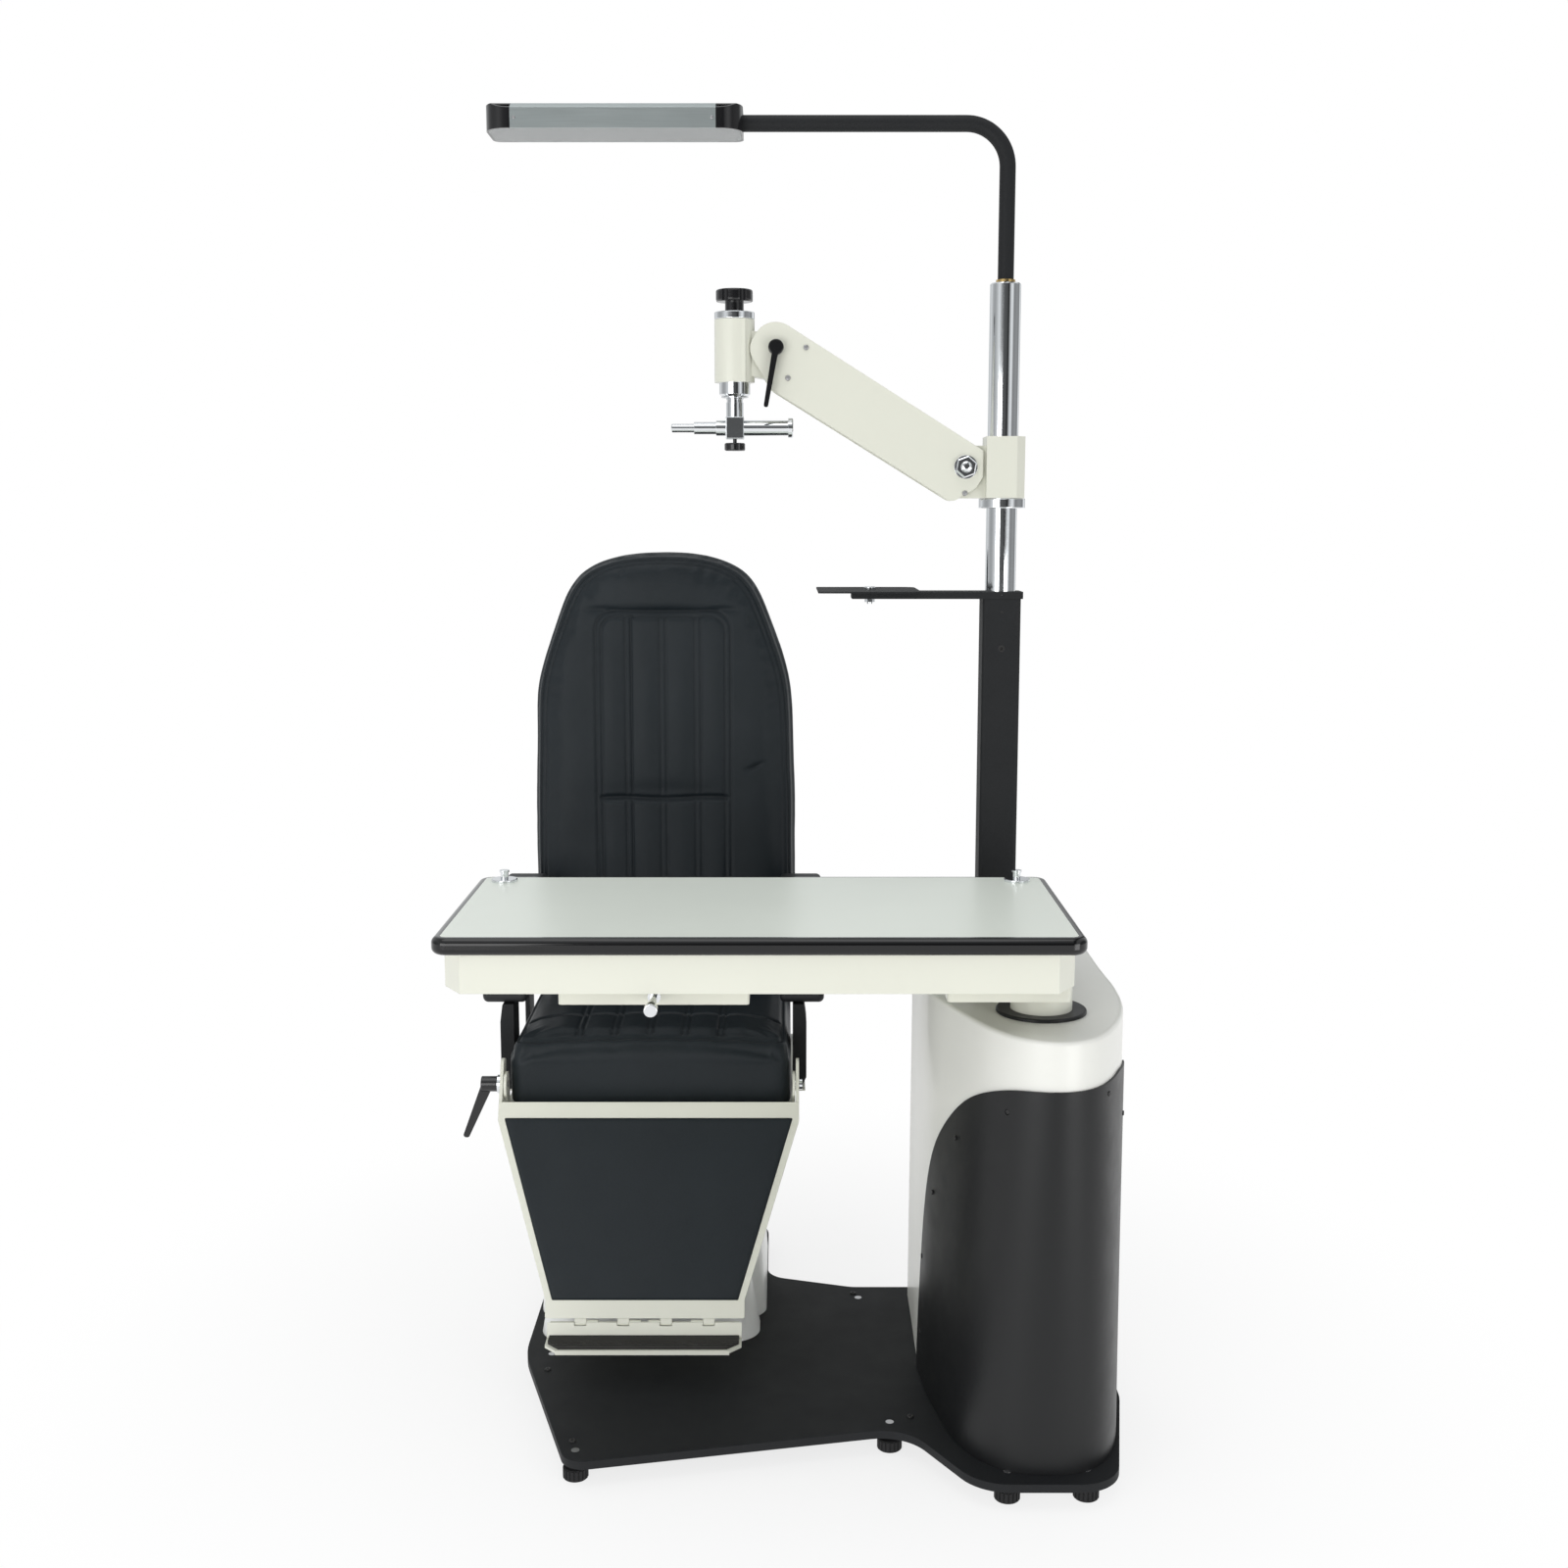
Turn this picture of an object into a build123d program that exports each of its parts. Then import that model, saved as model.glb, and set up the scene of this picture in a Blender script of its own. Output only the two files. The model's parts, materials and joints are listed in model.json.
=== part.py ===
from build123d import *
from math import cos, sin, radians, tan, hypot, pi
import os

os.makedirs("parts", exist_ok=True)

# Frame: millimetres, +Z up, the chair faces -Y, X = 0 is the middle of the chair.
# The instrument cabinet and the column stand on the +X side.

# Middle of the floor space that the whole unit covers, which becomes the origin
floor_mid_x = 208.4
floor_mid_y = -209.0

# Fits used everywhere
run_gap = 0.05          # radial clearance of a pin or shaft in its bore
slide_gap = 0.4         # air between parts that move past each other
skin_gap = 0.5          # air between covers and what passes through them
thin = 2.0              # folded sheet
sheet = 3.0             # covers
plate_steel = 5.0       # bent frame plate
bar_round = 1.5         # softened edge of turned and milled pieces

# Base plate and feet
foot_height = 28.0
plate_thick = 12.0
plate_top = foot_height + plate_thick
foot_radius = 18.0
foot_pad_height = 17.0
foot_rib = 1.2
foot_rib_width = 4.0
foot_rib_count = 18
stud_radius = 6.0
nut_radius = 10.0
nut_height = 7.0
plate_outline = [
    (-187, 232, 90), (-192, -330, 240), (-90, -662, 34), (390, -562, 70), (482, -716, 75),
    (672, -716, 62), (718, -470, 120), (718, -84, 40), (330, -84, 60), (187, -40, 40), (187, 232, 90),
]
foot_places = [
    (-80, -624), (369, -544), (524, -680), (634, -676), (-150, -330), (-130, 170), (130, 170),
    (340, -125), (672, -130),
]
screw_head = 5.0
screw_height = 2.4
screw_shank = 2.5
screw_length = 9.0
screw_places = [(-87, -600), (400, -530), (-150, -384), (332, -110), (-120, 205), (120, 205)]

# Instrument cabinet, plan at the floor plate and at the top
cabinet_top = 645.0
cabinet_wall = 4.0
cabinet_round = 6.0
cabinet_back = -92.0
cabinet_corner = 24.0
cabinet_foot_plan = [
    (424, -200), (424, -368), (431, -453), (445, -532), (467, -612), (495, -655), (530, -681),
    (575, -689), (621, -683), (656, -658), (680, -612), (696, -540), (705, -470), (709, -360), (708, -200),
]
cabinet_top_plan = [
    (427, -200), (428, -335), (436, -410), (456, -475), (479, -538), (506, -596), (540, -637),
    (592, -657), (634, -640), (662, -604), (684, -555), (701, -497), (711, -430), (714, -360), (711, -200),
]
panel_thick = 3.0
panel_cut_front = -760.0
panel_cut_left = 300.0
panel_cut_middle = 580.0
panel_cut_right = 800.0
panel_top_end = -560.0
panel_top_round = 60.0
panel_air = 0.4
panel_left_edge = [
    (-365, 40), (-375, 140), (-392, 235), (-418, 350), (-450, 425), (-505, 492), (-575, 545), (-620, 566),
    (-665, 577),
]
panel_top = 577.0
panel_right_back = -428.0
panel_right_round = 46.0
panel_right_drop = 22.0
supply = (455, 560, -410, -205)
supply_height = 150.0
supply_feet = 6.0
inlet_x = 640.0
inlet_z = 120.0
inlet_half = 25.0
inlet_tall = 17.0
inlet_flange = 9.0
inlet_proud = 3.0
inlet_deep = 22.0
inlet_pin = 1.6
inlet_pitch = 7.0

# Small screws on the front panel: (first plan point, share to the next, height)
panel_screws = [
    (1, 0.45, 112.0), (1, 0.50, 232.0), (2, 0.30, 355.0), (3, 0.50, 465.0), (5, 0.60, 540.0),
    (8, 0.90, 561.0), (10, 0.80, 500.0),
]
cover_screw_radius = 3.6
cover_screw_height = 1.8
cover_screw_shank = 1.8
cover_screw_length = 7.0

# Table lift
lift_x = 583.0
lift_y = -500.0
table_column_radius = 44.0
table_column_wall = 4.0
lift_tube_radius = 50.0
lift_tube_top = 628.0
lift_flange_radius = 80.0
lift_flange_thick = 10.0
ring_radius = 64.5
ring_height = 5.0

# Instrument table
table_top = 790.0
table_thick = 24.0
table_left = -258.0
table_right = 622.0
table_front = -666.0
table_back = -245.0
table_corner = 22.0
edging_width = 12.0
edging_round = 9.0
tongue_depth = 9.0
tongue_thick = 3.0
apron_inset = 11.0
apron_height = 54.0
apron_chamfer_x = 27.0
apron_chamfer_y = 42.0
apron_flange = 22.0
rail_width = 30.0
rail_middles = [-96.0, 166.0, 455.0, 535.0]
support_plate_thick = 8.0
support_depth = 190.0
support_skirt = 20.0
swing_pin_radius = 15.0
swing_nut_radius = 24.0
swing_nut_height = 12.0
box_height = 34.0
box_flange = 14.0
box_front = -600.0
box_back = -340.0
stud_left_x = -215.0
stud_right_x = 573.0
stud_y = -284.0
stud_flange_radius = 20.0
stud_flange_thick = 4.0
stud_pin_radius = 6.0
stud_pin_height = 13.0
stud_cap_radius = 7.5
stud_cap_height = 3.0
apron_top = table_top - table_thick
apron_low = apron_top - apron_height
table_column_low = 300.0
lock_x = 37.0
lock_z = 694.0
lock_radius = 5.0
lock_front = -674.0
lock_back = -470.0
lock_guide = -505.0
lock_knob_radius = 9.3
lock_knob_length = 14.0
lock_collar_radius = 9.0
lock_collar_length = 8.0
lock_block_radius = 7.5
lock_travel = 12.0

# Column, tray and phoropter arm
column_x = 558.0
column_y = -130.0
post_side = 60.0
post_wall = 4.0
post_round = 6.0
post_top = 1216.0
post_foot_side = 110.0
post_foot_thick = 8.0
tube_radius = 24.0
tube_wall = 3.0
tube_top = 1701.0
tube_tail = 120.0
tube_chamfer = 2.0
ring_seat = 1357.0
stop_height = 15.0
stop_radius = 36.3
clamp_height = 95.0
clamp_half = 33.0
clamp_chamfer = 14.0
lug_half = 17.0
lug_reach = 36.0
arm_end_cut = 27.0
head_block_air = 9.0
arm_length = 346.8
arm_slope = 31.52
arm_pivot_x = 498.3
arm_pivot_up = 48.0
arm_above = 38.5
arm_below = 57.5
arm_half = 24.0
arm_sheet = 3.0
arm_end_radius = 31.0
head_end_radius = 38.0
head_end_low_share = 0.65
link_drop = 34.0
link_height = 14.0
link_half = 4.0
link_pin_radius = 4.0
arm_bolt_radius = 8.0
arm_nut_radius = 13.0
arm_nut_height = 10.0
lever_hub_radius = 12.0
lever_hub_height = 16.0
lever_reach = 92.0
lever_width = 10.0
lever_thick = 9.0
lever_angle = -100.0
head_offset = 64.6
head_radius = 31.2
head_above = 44.0
head_below = 51.3
head_lug_half = 16.0
head_lug_reach = 18.0
collar_height = 11.5
sleeve_radius = 23.8
sleeve_height = 21.0
sleeve_chamfer = 3.0
spindle_radius = 13.3
spindle_drop = 31.5
knob_stem_radius = 14.5
knob_stem_height = 15.5
knob_radius = 29.0
knob_height = 18.5
knob_lobes = 6
knob_groove = 7.0
cross_half = 14.3
cross_height = 34.0
bar_steps = [(-99.5, -63.6, 6.6), (-63.6, -29.0, 9.4), (-29.0, 83.6, 11.8), (83.6, 91.1, 15.3)]
star_stem_radius = 3.0
star_stem_height = 6.0
star_radius = 16.3
star_height = 12.0
star_lobes = 5
star_groove = 4.5
bar_width = 62.0
bar_height = 11.0
bar_right = 591.0
bar_left = 322.0
tray_bolt_x = 351.0
tray_bolt_radius = 4.0
tray_head_radius = 9.0
tray_head_height = 5.0
tray_nut_drop = 9.0
tray_plate = 2.5
tray_outline = [(268, -215, 6), (428, -215, 22), (428, -25, 22), (268, -25, 6)]
post_screw_places = [(21, 4.0), (78, 10.0)]     # drop below the top, head diameter
arm_pivot_z = ring_seat + stop_height + skin_gap + arm_pivot_up
clamp_low = ring_seat + stop_height + skin_gap
arm_run = arm_length * cos(radians(arm_slope))
arm_rise = arm_length * sin(radians(arm_slope))
head_pivot_x = arm_pivot_x - arm_run
head_pivot_z = arm_pivot_z + arm_rise
head_x = head_pivot_x - head_offset
knob_stud_radius = 8.0
spindle_air = 0.5

# Lamp
lamp_tube_radius = 12.4
lamp_tube_wall = 1.5
lamp_axis_z = 1938.0
lamp_bend = 64.0
lamp_tail = 150.0
bush_radius = 15.0
bush_height = 5.0
lamp_middle = -42.0
lamp_half = 154.5
lamp_cap = 40.0
lamp_depth = 107.0
lamp_height = 38.0
lamp_bevel = 8.0
lamp_wall = 2.5
lamp_front_round = 36.0
lamp_back_round = 14.0
lens_thick = 2.5
lens_rim = 3.0
lamp_spigot = 30.0
led_width = 24.0
led_thick = 2.0
lamp_low = lamp_axis_z - lamp_height / 2 + thin
lamp_front = column_y - lamp_depth / 2
lamp_back = column_y + lamp_depth / 2
cap_round = 1.0

# Chair pedestal
pedestal_foot = [(-186, -205, 40), (186, -205, 40), (186, 150, 60), (-186, 150, 60)]
pedestal_head = [(-170, -190, 40), (170, -190, 40), (170, 132, 60), (-170, 132, 60)]
pedestal_top = 262.0
pedestal_round = 10.0
toe_foot = [(-176, -290, 46), (176, -290, 46), (176, -208, 8), (-176, -208, 8)]
toe_head = [(-160, -268, 44), (160, -268, 44), (160, -208, 8), (-160, -208, 8)]
toe_top = 132.0
toe_round = 8.0
lift_middle_y = -20.0
guide_side = 130.0
guide_top = 372.0
guide_wall = 5.0
guide_flange = 190.0
sleeve_side = 150.0
sleeve_bottom = 96.0
column_corner = 8.0
chair_travel = 150.0

# Seat
seat_half = 227.0       # the frame's ears, the armrests and the leg rest follow this width
seat_front = -217.0
seat_back = 185.0
pan_bottom = 404.0
pan_thick = 12.0
seat_edge = 514.0       # top edge of the seat, which the armrests follow
seat_crown = 8.0
seat_round = 18.0
seat_corner = 26.0
channel_pitch = 57.0
channel_width = 5.0
channel_depth = 5.0
cross_seam_y = -102.0
ear_inner = seat_half + 1.5
ear_thick = 4.5
pivot_y = -213.0
pivot_z = 443.0
ear_half = 20.0
tab_half = seat_half + 23.0
pan_top = pan_bottom + sheet
pan_half = ear_inner + ear_thick
rim_drop = 24.0
rim_inset = 14.0
lug_thick = 7.0
lug_pad = 22.0
tab_reach = 34.0

# Armrests
arm_pad_inner = seat_half - 19.0
arm_pad_outer = seat_half + 54.0
post_inner = seat_half + 14.0
post_thick = 8.0
arm_hinge_y = 160.0
arm_hinge_z = seat_edge + 166.0
post_head_radius = 18.0
round_share = 0.98      # nearly full round at the head of an upright
post_half = 28.0
post_neck = 46.0
post_shoulder = 96.0
arm_pin_radius = 6.0
arm_lift_above = 30.0
arm_thick = 50.0
arm_front = -128.0
nose_depth = 62.0
nose_bottom = seat_edge + 38.0
scallop_radius = 9.0
bracket_inner = seat_half + 2.5
bracket_outer = seat_half + 25.0
bracket_front = -130.0
bracket_back = -72.0
bracket_chamfer = 10.0
arm_rest_gap = 1.0
arm_edge = 9.0

# Backrest
back_front = 205.0
back_thick = 68.0
back_bottom = 500.0
back_half_outline = [
    (238, 540), (237, 700), (236.5, 832), (233, 961), (227, 1050), (211, 1110), (192, 1163), (168, 1218),
    (145, 1246), (104, 1268), (55, 1279),
]
back_crown_top = 1282.0
back_round = 16.0
back_seam_inset = 13.0
back_panel_half_top = 112.0
back_panel_half_low = 113.5
back_panel_top = 1166.0
back_panel_low = 843.0
back_panel_corner = 34.0
groove_width = 4.0
groove_depth = 4.0
back_shell_thick = 5.0
back_shell_inset = 26.0
hinge_y = 238.0
hinge_z = 452.0
hinge_radius = 8.0
hinge_lug_radius = 20.0
back_bar_x = 150.0
back_bar_thick = 10.0
back_low_corner = 34.0
top_shares = [1, 1, 1, 1, 0.97, 0.93, 0.86, 0.72, 0.55, 0.28, 0.08]
back_crown = 10.0
back_frame_rise = 260.0

# Leg rest, drawn hanging straight down from its pivot, then swung forward
leg_slope = 24.0
leg_front = 20.0
leg_plate_inner = seat_half + 7.0
leg_ear_up = 41.0
leg_ear_half = 18.0
leg_top_bar = 31.0
leg_top_half = leg_plate_inner + plate_steel
leg_low_half = 154.0
leg_bar_height = 25.0
leg_length = 334.0
leg_low_bar = 27.0
leg_depth = 26.0
leg_pad_proud = 3.0
bolt_radius = 6.0
bolt_head_radius = 9.0
bolt_head = 5.0
foot_pin_radius = 2.0
knuckle_radius = 4.5
knuckle_shares = [-0.66, -0.22, 0.22, 0.66]
knuckle_length = 18.0
foot_up_height = 22.0
foot_half = 150.0
foot_sheet = 4.0
tread_depth = 44.0
tread_thick = 5.0
tread_rib = 1.2
tread_ribs = 5
tread_chamfer = 18.0
clamp_hub_radius = 12.5
clamp_hub_length = 26.0
clamp_bush_radius = 15.0
clamp_bush_length = 5.0
handle_reach = 92.0
handle_angle = 253.0
foot_hinge_y = -leg_front + foot_sheet + foot_pin_radius + slide_gap
foot_hinge_drop = 6.5
foot_hinge_z = -leg_length - leg_low_bar - foot_hinge_drop
leg_board = 10.0
leg_side = 10.0
leg_lap = 3.0
clamp_start = leg_plate_inner + plate_steel + slide_gap * 2 + clamp_bush_length
clamp_stud_end = clamp_start + clamp_hub_length * 0.7


def block(x0, x1, y0, y1, z0, z1):
    """Box between two corners."""
    return Pos((x0 + x1) / 2, (y0 + y1) / 2, (z0 + z1) / 2) * Box(x1 - x0, y1 - y0, z1 - z0)


def rod_z(x, y, z0, z1, radius):
    return Pos(x, y, (z0 + z1) / 2) * Cylinder(radius, z1 - z0)


def rod_x(x0, x1, y, z, radius):
    return Pos((x0 + x1) / 2, y, z) * Rot(Y=90) * Cylinder(radius, x1 - x0)


def rod_y(x, y0, y1, z, radius):
    return Pos(x, (y0 + y1) / 2, z) * Rot(X=90) * Cylinder(radius, y1 - y0)


def rounded(points):
    """Closed wire through corner points (x, y, corner radius)."""
    edges, ends = [], []
    count = len(points)
    for i, (x, y, r) in enumerate(points):
        before, after = points[i - 1], points[(i + 1) % count]
        a = Vector(before[0] - x, before[1] - y).normalized()
        b = Vector(after[0] - x, after[1] - y).normalized()
        here = Vector(x, y)
        half = radians(a.get_angle(b)) / 2
        if r <= 0 or abs(half - pi / 2) < radians(1):
            ends.append((here, None, here))
            continue
        run = r / tan(half)
        middle = here + (a + b).normalized() * (r / sin(half) - r)
        ends.append((here + a * run, middle, here + b * run))
    for i, (start, middle, stop) in enumerate(ends):
        if middle is not None:
            edges.append(ThreePointArc(start, middle, stop))
        edges.append(Line(stop, ends[(i + 1) % count][0]))
    return Wire(edges)


def prism(points, z0, z1):
    """Rounded plan outline raised from z0 to z1."""
    return extrude(Pos(0, 0, z0) * make_face(rounded(points)), z1 - z0, dir=(0, 0, 1))


def side_prism(points, x0, x1):
    """Outline given as (y, z, corner radius), drawn out along X."""
    face = Plane(origin=(x0, 0, 0), x_dir=(0, 1, 0), z_dir=(1, 0, 0)) * make_face(rounded(points))
    return extrude(face, x1 - x0, dir=(1, 0, 0))


def front_prism(points, y0, y1):
    """Outline given as (x, z, corner radius), drawn out along Y."""
    face = Plane(origin=(0, y0, 0), x_dir=(1, 0, 0), z_dir=(0, -1, 0)) * make_face(rounded(points))
    return extrude(face, y1 - y0, dir=(0, 1, 0))


def rect(x0, x1, y0, y1, r):
    return [(x0, y0, r), (x1, y0, r), (x1, y1, r), (x0, y1, r)]


def square_tube(x, y, z0, z1, side, wall, r):
    half, hole = side / 2, side / 2 - wall
    outer = prism(rect(x - half, x + half, y - half, y + half, r), z0, z1)
    return outer - prism(rect(x - hole, x + hole, y - hole, y + hole, r / 2), z0, z1)


def button(x, y, z, radius, height, shank, length):
    """Button screw standing on z, head up."""
    head = rod_z(x, y, z, z + height, radius)
    head = fillet(head.edges().sort_by(Axis.Z)[-1], height * 0.6)
    socket = Pos(x, y, z + height) * extrude(RegularPolygon(radius * 0.4, 6), -height * 0.6)
    return head - socket + rod_z(x, y, z - length, z, shank)


def save_all(name, shapes):
    """One file per sub-part, moved so that the origin lies in the middle of the floor space."""
    home = Pos(-floor_mid_x, -floor_mid_y, 0)
    export_step(Compound([home * s for shape in shapes for s in shape.solids()]), f"parts/{name}.step")


# Buttons shared by the covers and the floor plate


def feet():
    pads, studs = [], []
    for x, y in foot_places:
        pad = rod_z(x, y, 0, foot_pad_height, foot_radius - foot_rib)
        with_ribs = [pad]
        for i in range(foot_rib_count):
            turn = Rot(Z=i * 360 / foot_rib_count)
            rib = turn * block(foot_radius - foot_rib * 2, foot_radius, -foot_rib_width / 2,
                               foot_rib_width / 2, foot_rib, foot_pad_height - foot_rib)
            with_ribs.append(Pos(x, y, 0) * rib)
        pad = with_ribs[0].fuse(*with_ribs[1:])
        pads.append(pad - rod_z(x, y, foot_pad_height / 2, foot_pad_height, stud_radius))
        nut = Pos(x, y, foot_height - nut_height) * extrude(RegularPolygon(nut_radius, 6), nut_height)
        studs.append(nut + rod_z(x, y, foot_pad_height / 2, plate_top, stud_radius))
    return pads, studs


def floor_plate():
    plate = prism(plate_outline, foot_height, plate_top)
    for x, y in foot_places:
        plate -= rod_z(x, y, foot_height, plate_top, stud_radius)
    for x, y in screw_places:
        plate -= rod_z(x, y, plate_top - screw_length, plate_top, screw_shank)
    return plate


def moved_out(points, distance):
    """Plan points pushed outward by a distance, along the local normal of an open run."""
    out = []
    for i, (x, y) in enumerate(points):
        x0, y0 = points[max(i - 1, 0)]
        x1, y1 = points[min(i + 1, len(points) - 1)]
        dx, dy = x1 - x0, y1 - y0
        size = hypot(dx, dy)
        out.append((x + dy / size * distance, y - dx / size * distance))
    return out


def cabinet_wire(points, z, grow):
    """Plan of the cabinet at a height: curved front, flat back with round corners."""
    front = [(x, y, z) for x, y in moved_out(points, grow)]
    left, right = front[0][0], front[-1][0]
    back, corner = cabinet_back + grow, cabinet_corner + grow
    start, stop = (left, back - corner, z), (right, back - corner, z)
    bend = corner * (1 - cos(radians(45)))
    curve = Spline(*front, tangents=[(0, -1, 0), (0, 1, 0)])
    return Wire([
        curve,
        Line(front[-1], stop),
        ThreePointArc(stop, (right - bend, back - bend, z), (right - corner, back, z)),
        Line((right - corner, back, z), (left + corner, back, z)),
        ThreePointArc((left + corner, back, z), (left + bend, back - bend, z), start),
        Line(start, front[0]),
    ])


def cabinet_body(grow, z_top):
    share = (z_top - plate_top) / (cabinet_top - plate_top)
    top_plan = [
        (a + (c - a) * share, b + (d - b) * share)
        for (a, b), (c, d) in zip(cabinet_foot_plan, cabinet_top_plan)
    ]
    low = make_face(cabinet_wire(cabinet_foot_plan, plate_top, grow))
    high = make_face(cabinet_wire(top_plan, z_top, grow))
    return loft([low, high], ruled=True)


def cabinet():
    shell = cabinet_body(0, cabinet_top)
    rim = [e for e in shell.edges() if abs(e.center().Z - cabinet_top) < 0.1]
    shell = fillet(rim, cabinet_round)
    shell -= cabinet_body(-cabinet_wall, cabinet_top - cabinet_wall)
    shell -= rod_z(lift_x, lift_y, cabinet_top - cabinet_wall * 2, cabinet_top, ring_radius - ring_height)
    side = post_side / 2 + skin_gap
    shell -= block(column_x - side, column_x + side, column_y - side, column_y + side,
                   cabinet_top - cabinet_wall * 2, cabinet_top)
    return shell


def panel_cutters():
    """Side outlines that leave the front panel: left half sweeps back, right half has a round corner."""
    left = [(y, z) for y, z in panel_left_edge]
    curve = Spline(*left, tangents=[(0, 1), (-1, 0.1)])
    front, low = panel_cut_front, plate_top
    ends = [
        Line(curve @ 1, (front, (curve @ 1).Y)),
        Line((front, (curve @ 1).Y), (front, low)),
        Line((front, low), left[0]),
    ]
    plane = Plane(origin=(panel_cut_left, 0, 0), x_dir=(0, 1, 0), z_dir=(1, 0, 0))
    side = make_face(Wire([curve] + ends))
    left_cut = extrude(plane * side, panel_cut_middle - panel_cut_left, dir=(1, 0, 0))
    top = (curve @ 1).Y
    right = [
        (front, top, 0), (front, low, 0), (panel_right_back, low, 0),
        (panel_right_back, top - panel_right_drop, panel_right_round), (panel_top_end, top, panel_top_round),
    ]
    return left_cut + side_prism(right, panel_cut_middle, panel_cut_right)


def front_cover():
    """Bent cover a little off the shell, open where its screws pass through."""
    skin = cabinet_body(panel_air + panel_thick, cabinet_top) - cabinet_body(panel_air, cabinet_top)
    return skin & panel_cutters()


def lift_tube():
    tube = rod_z(lift_x, lift_y, plate_top, lift_tube_top, lift_tube_radius)
    tube += rod_z(lift_x, lift_y, plate_top, plate_top + lift_flange_thick, lift_flange_radius)
    bore = table_column_radius + slide_gap
    return tube - rod_z(lift_x, lift_y, plate_top + lift_flange_thick, lift_tube_top, bore)


def column_ring():
    ring = rod_z(lift_x, lift_y, cabinet_top, cabinet_top + ring_height, ring_radius)
    ring = fillet(ring.edges().sort_by(Axis.Z)[-1], ring_height * 0.5)
    ring += rod_z(lift_x, lift_y, cabinet_top - cabinet_wall, cabinet_top, ring_radius - ring_height - run_gap)
    return ring - rod_z(lift_x, lift_y, cabinet_top - cabinet_wall, cabinet_top + ring_height,
                        table_column_radius + skin_gap)


# Supply box on the floor plate inside the cabinet, and the inlet in the back wall


def supply_box():
    x0, x1, y0, y1 = supply
    body = prism(rect(x0, x1, y0, y1, supply_feet), plate_top, plate_top + supply_height)
    fins = [
        block(x0 + fin, x0 + fin + sheet, y0 + supply_feet * 2, y1 - supply_feet * 2,
              plate_top + supply_height - supply_feet, plate_top + supply_height)
        for fin in range(12, 90, 9)
    ]
    for fin in fins:
        body -= fin
    return body


def inlet():
    shell = front_prism(
        [(inlet_x - inlet_half - inlet_flange, inlet_z - inlet_tall, 4),
         (inlet_x + inlet_half + inlet_flange, inlet_z - inlet_tall, 4),
         (inlet_x + inlet_half + inlet_flange, inlet_z + inlet_tall, 4),
         (inlet_x - inlet_half - inlet_flange, inlet_z + inlet_tall, 4)],
        cabinet_back, cabinet_back + inlet_proud)
    inner = inlet_half - inlet_proud
    tall = inlet_tall - inlet_proud
    barrel = block(inlet_x - inner, inlet_x + inner, cabinet_back - inlet_deep, cabinet_back,
                   inlet_z - tall, inlet_z + tall)
    mouth = block(inlet_x - inner + thin, inlet_x + inner - thin, cabinet_back - inlet_deep + thin,
                  cabinet_back + inlet_proud, inlet_z - tall + thin, inlet_z + tall - thin)
    pins = [
        rod_y(inlet_x + side * inlet_pitch, cabinet_back - inlet_deep, cabinet_back - inlet_proud,
              inlet_z + (inlet_pitch / 2 if side == 0 else 0), inlet_pin)
        for side in (-1, 0, 1)
    ]
    return (shell + barrel - mouth).fuse(*pins)


def inlet_hole():
    inner, tall = inlet_half - inlet_proud, inlet_tall - inlet_proud
    return block(inlet_x - inner, inlet_x + inner, cabinet_back - inlet_deep, cabinet_back,
                 inlet_z - tall, inlet_z + tall)


def column_post():
    post = square_tube(column_x, column_y, plate_top, post_top, post_side, post_wall, post_round)
    half = post_foot_side / 2
    low = post_top - tube_tail
    foot = block(column_x - half, column_x + half, column_y - half, cabinet_back - cabinet_wall - skin_gap,
                 plate_top, plate_top + post_foot_thick)
    core = square_tube(column_x, column_y, low, post_top, post_side - post_wall * 2, tube_wall, post_wall / 2)
    plug = block(column_x - post_side / 2 + post_wall, column_x + post_side / 2 - post_wall,
                 column_y - post_side / 2 + post_wall, column_y + post_side / 2 - post_wall, low, post_top)
    post += foot + core + plug
    bore = tube_radius + run_gap
    post -= rod_z(column_x, column_y, low + post_foot_thick, post_top, bore)
    for drop, size in post_screw_places:
        post -= rod_y(column_x, column_y - post_side / 2, column_y - tube_radius, post_top - drop, size / 2)
    return post


def post_screws():
    screws = []
    for drop, size in post_screw_places:
        face = column_y - post_side / 2
        z = post_top - drop
        screw = rod_y(column_x, face, column_y - tube_radius - run_gap, z, size / 2)
        socket = Plane(origin=(column_x, face, z), z_dir=(0, 1, 0)) * RegularPolygon(size * 0.3, 6)
        screws.append(screw - extrude(socket, size * 0.3, dir=(0, 1, 0)))
    return screws


def chrome_tube():
    low = post_top - tube_tail + post_foot_thick
    tube = rod_z(column_x, column_y, low, tube_top, tube_radius)
    tube = chamfer(tube.edges().sort_by(Axis.Z)[-1], tube_chamfer)
    return tube - rod_z(column_x, column_y, low, tube_top, tube_radius - tube_wall)


def lamp_bush():
    """Bush pressed into the top of the chrome tube; the lamp tube turns in it."""
    bush = rod_z(column_x, column_y, tube_top, tube_top + bush_height, bush_radius)
    bush += rod_z(column_x, column_y, tube_top - lamp_tail, tube_top, tube_radius - tube_wall)
    return bush - rod_z(column_x, column_y, tube_top - lamp_tail + bush_height, tube_top + bush_height,
                        lamp_tube_radius + run_gap)


def stop_ring():
    ring = rod_z(column_x, column_y, ring_seat, ring_seat + stop_height, stop_radius)
    ring = fillet(ring.edges().filter_by(GeomType.CIRCLE), bar_round)
    return ring - rod_z(column_x, column_y, ring_seat, ring_seat + stop_height, tube_radius)


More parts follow.
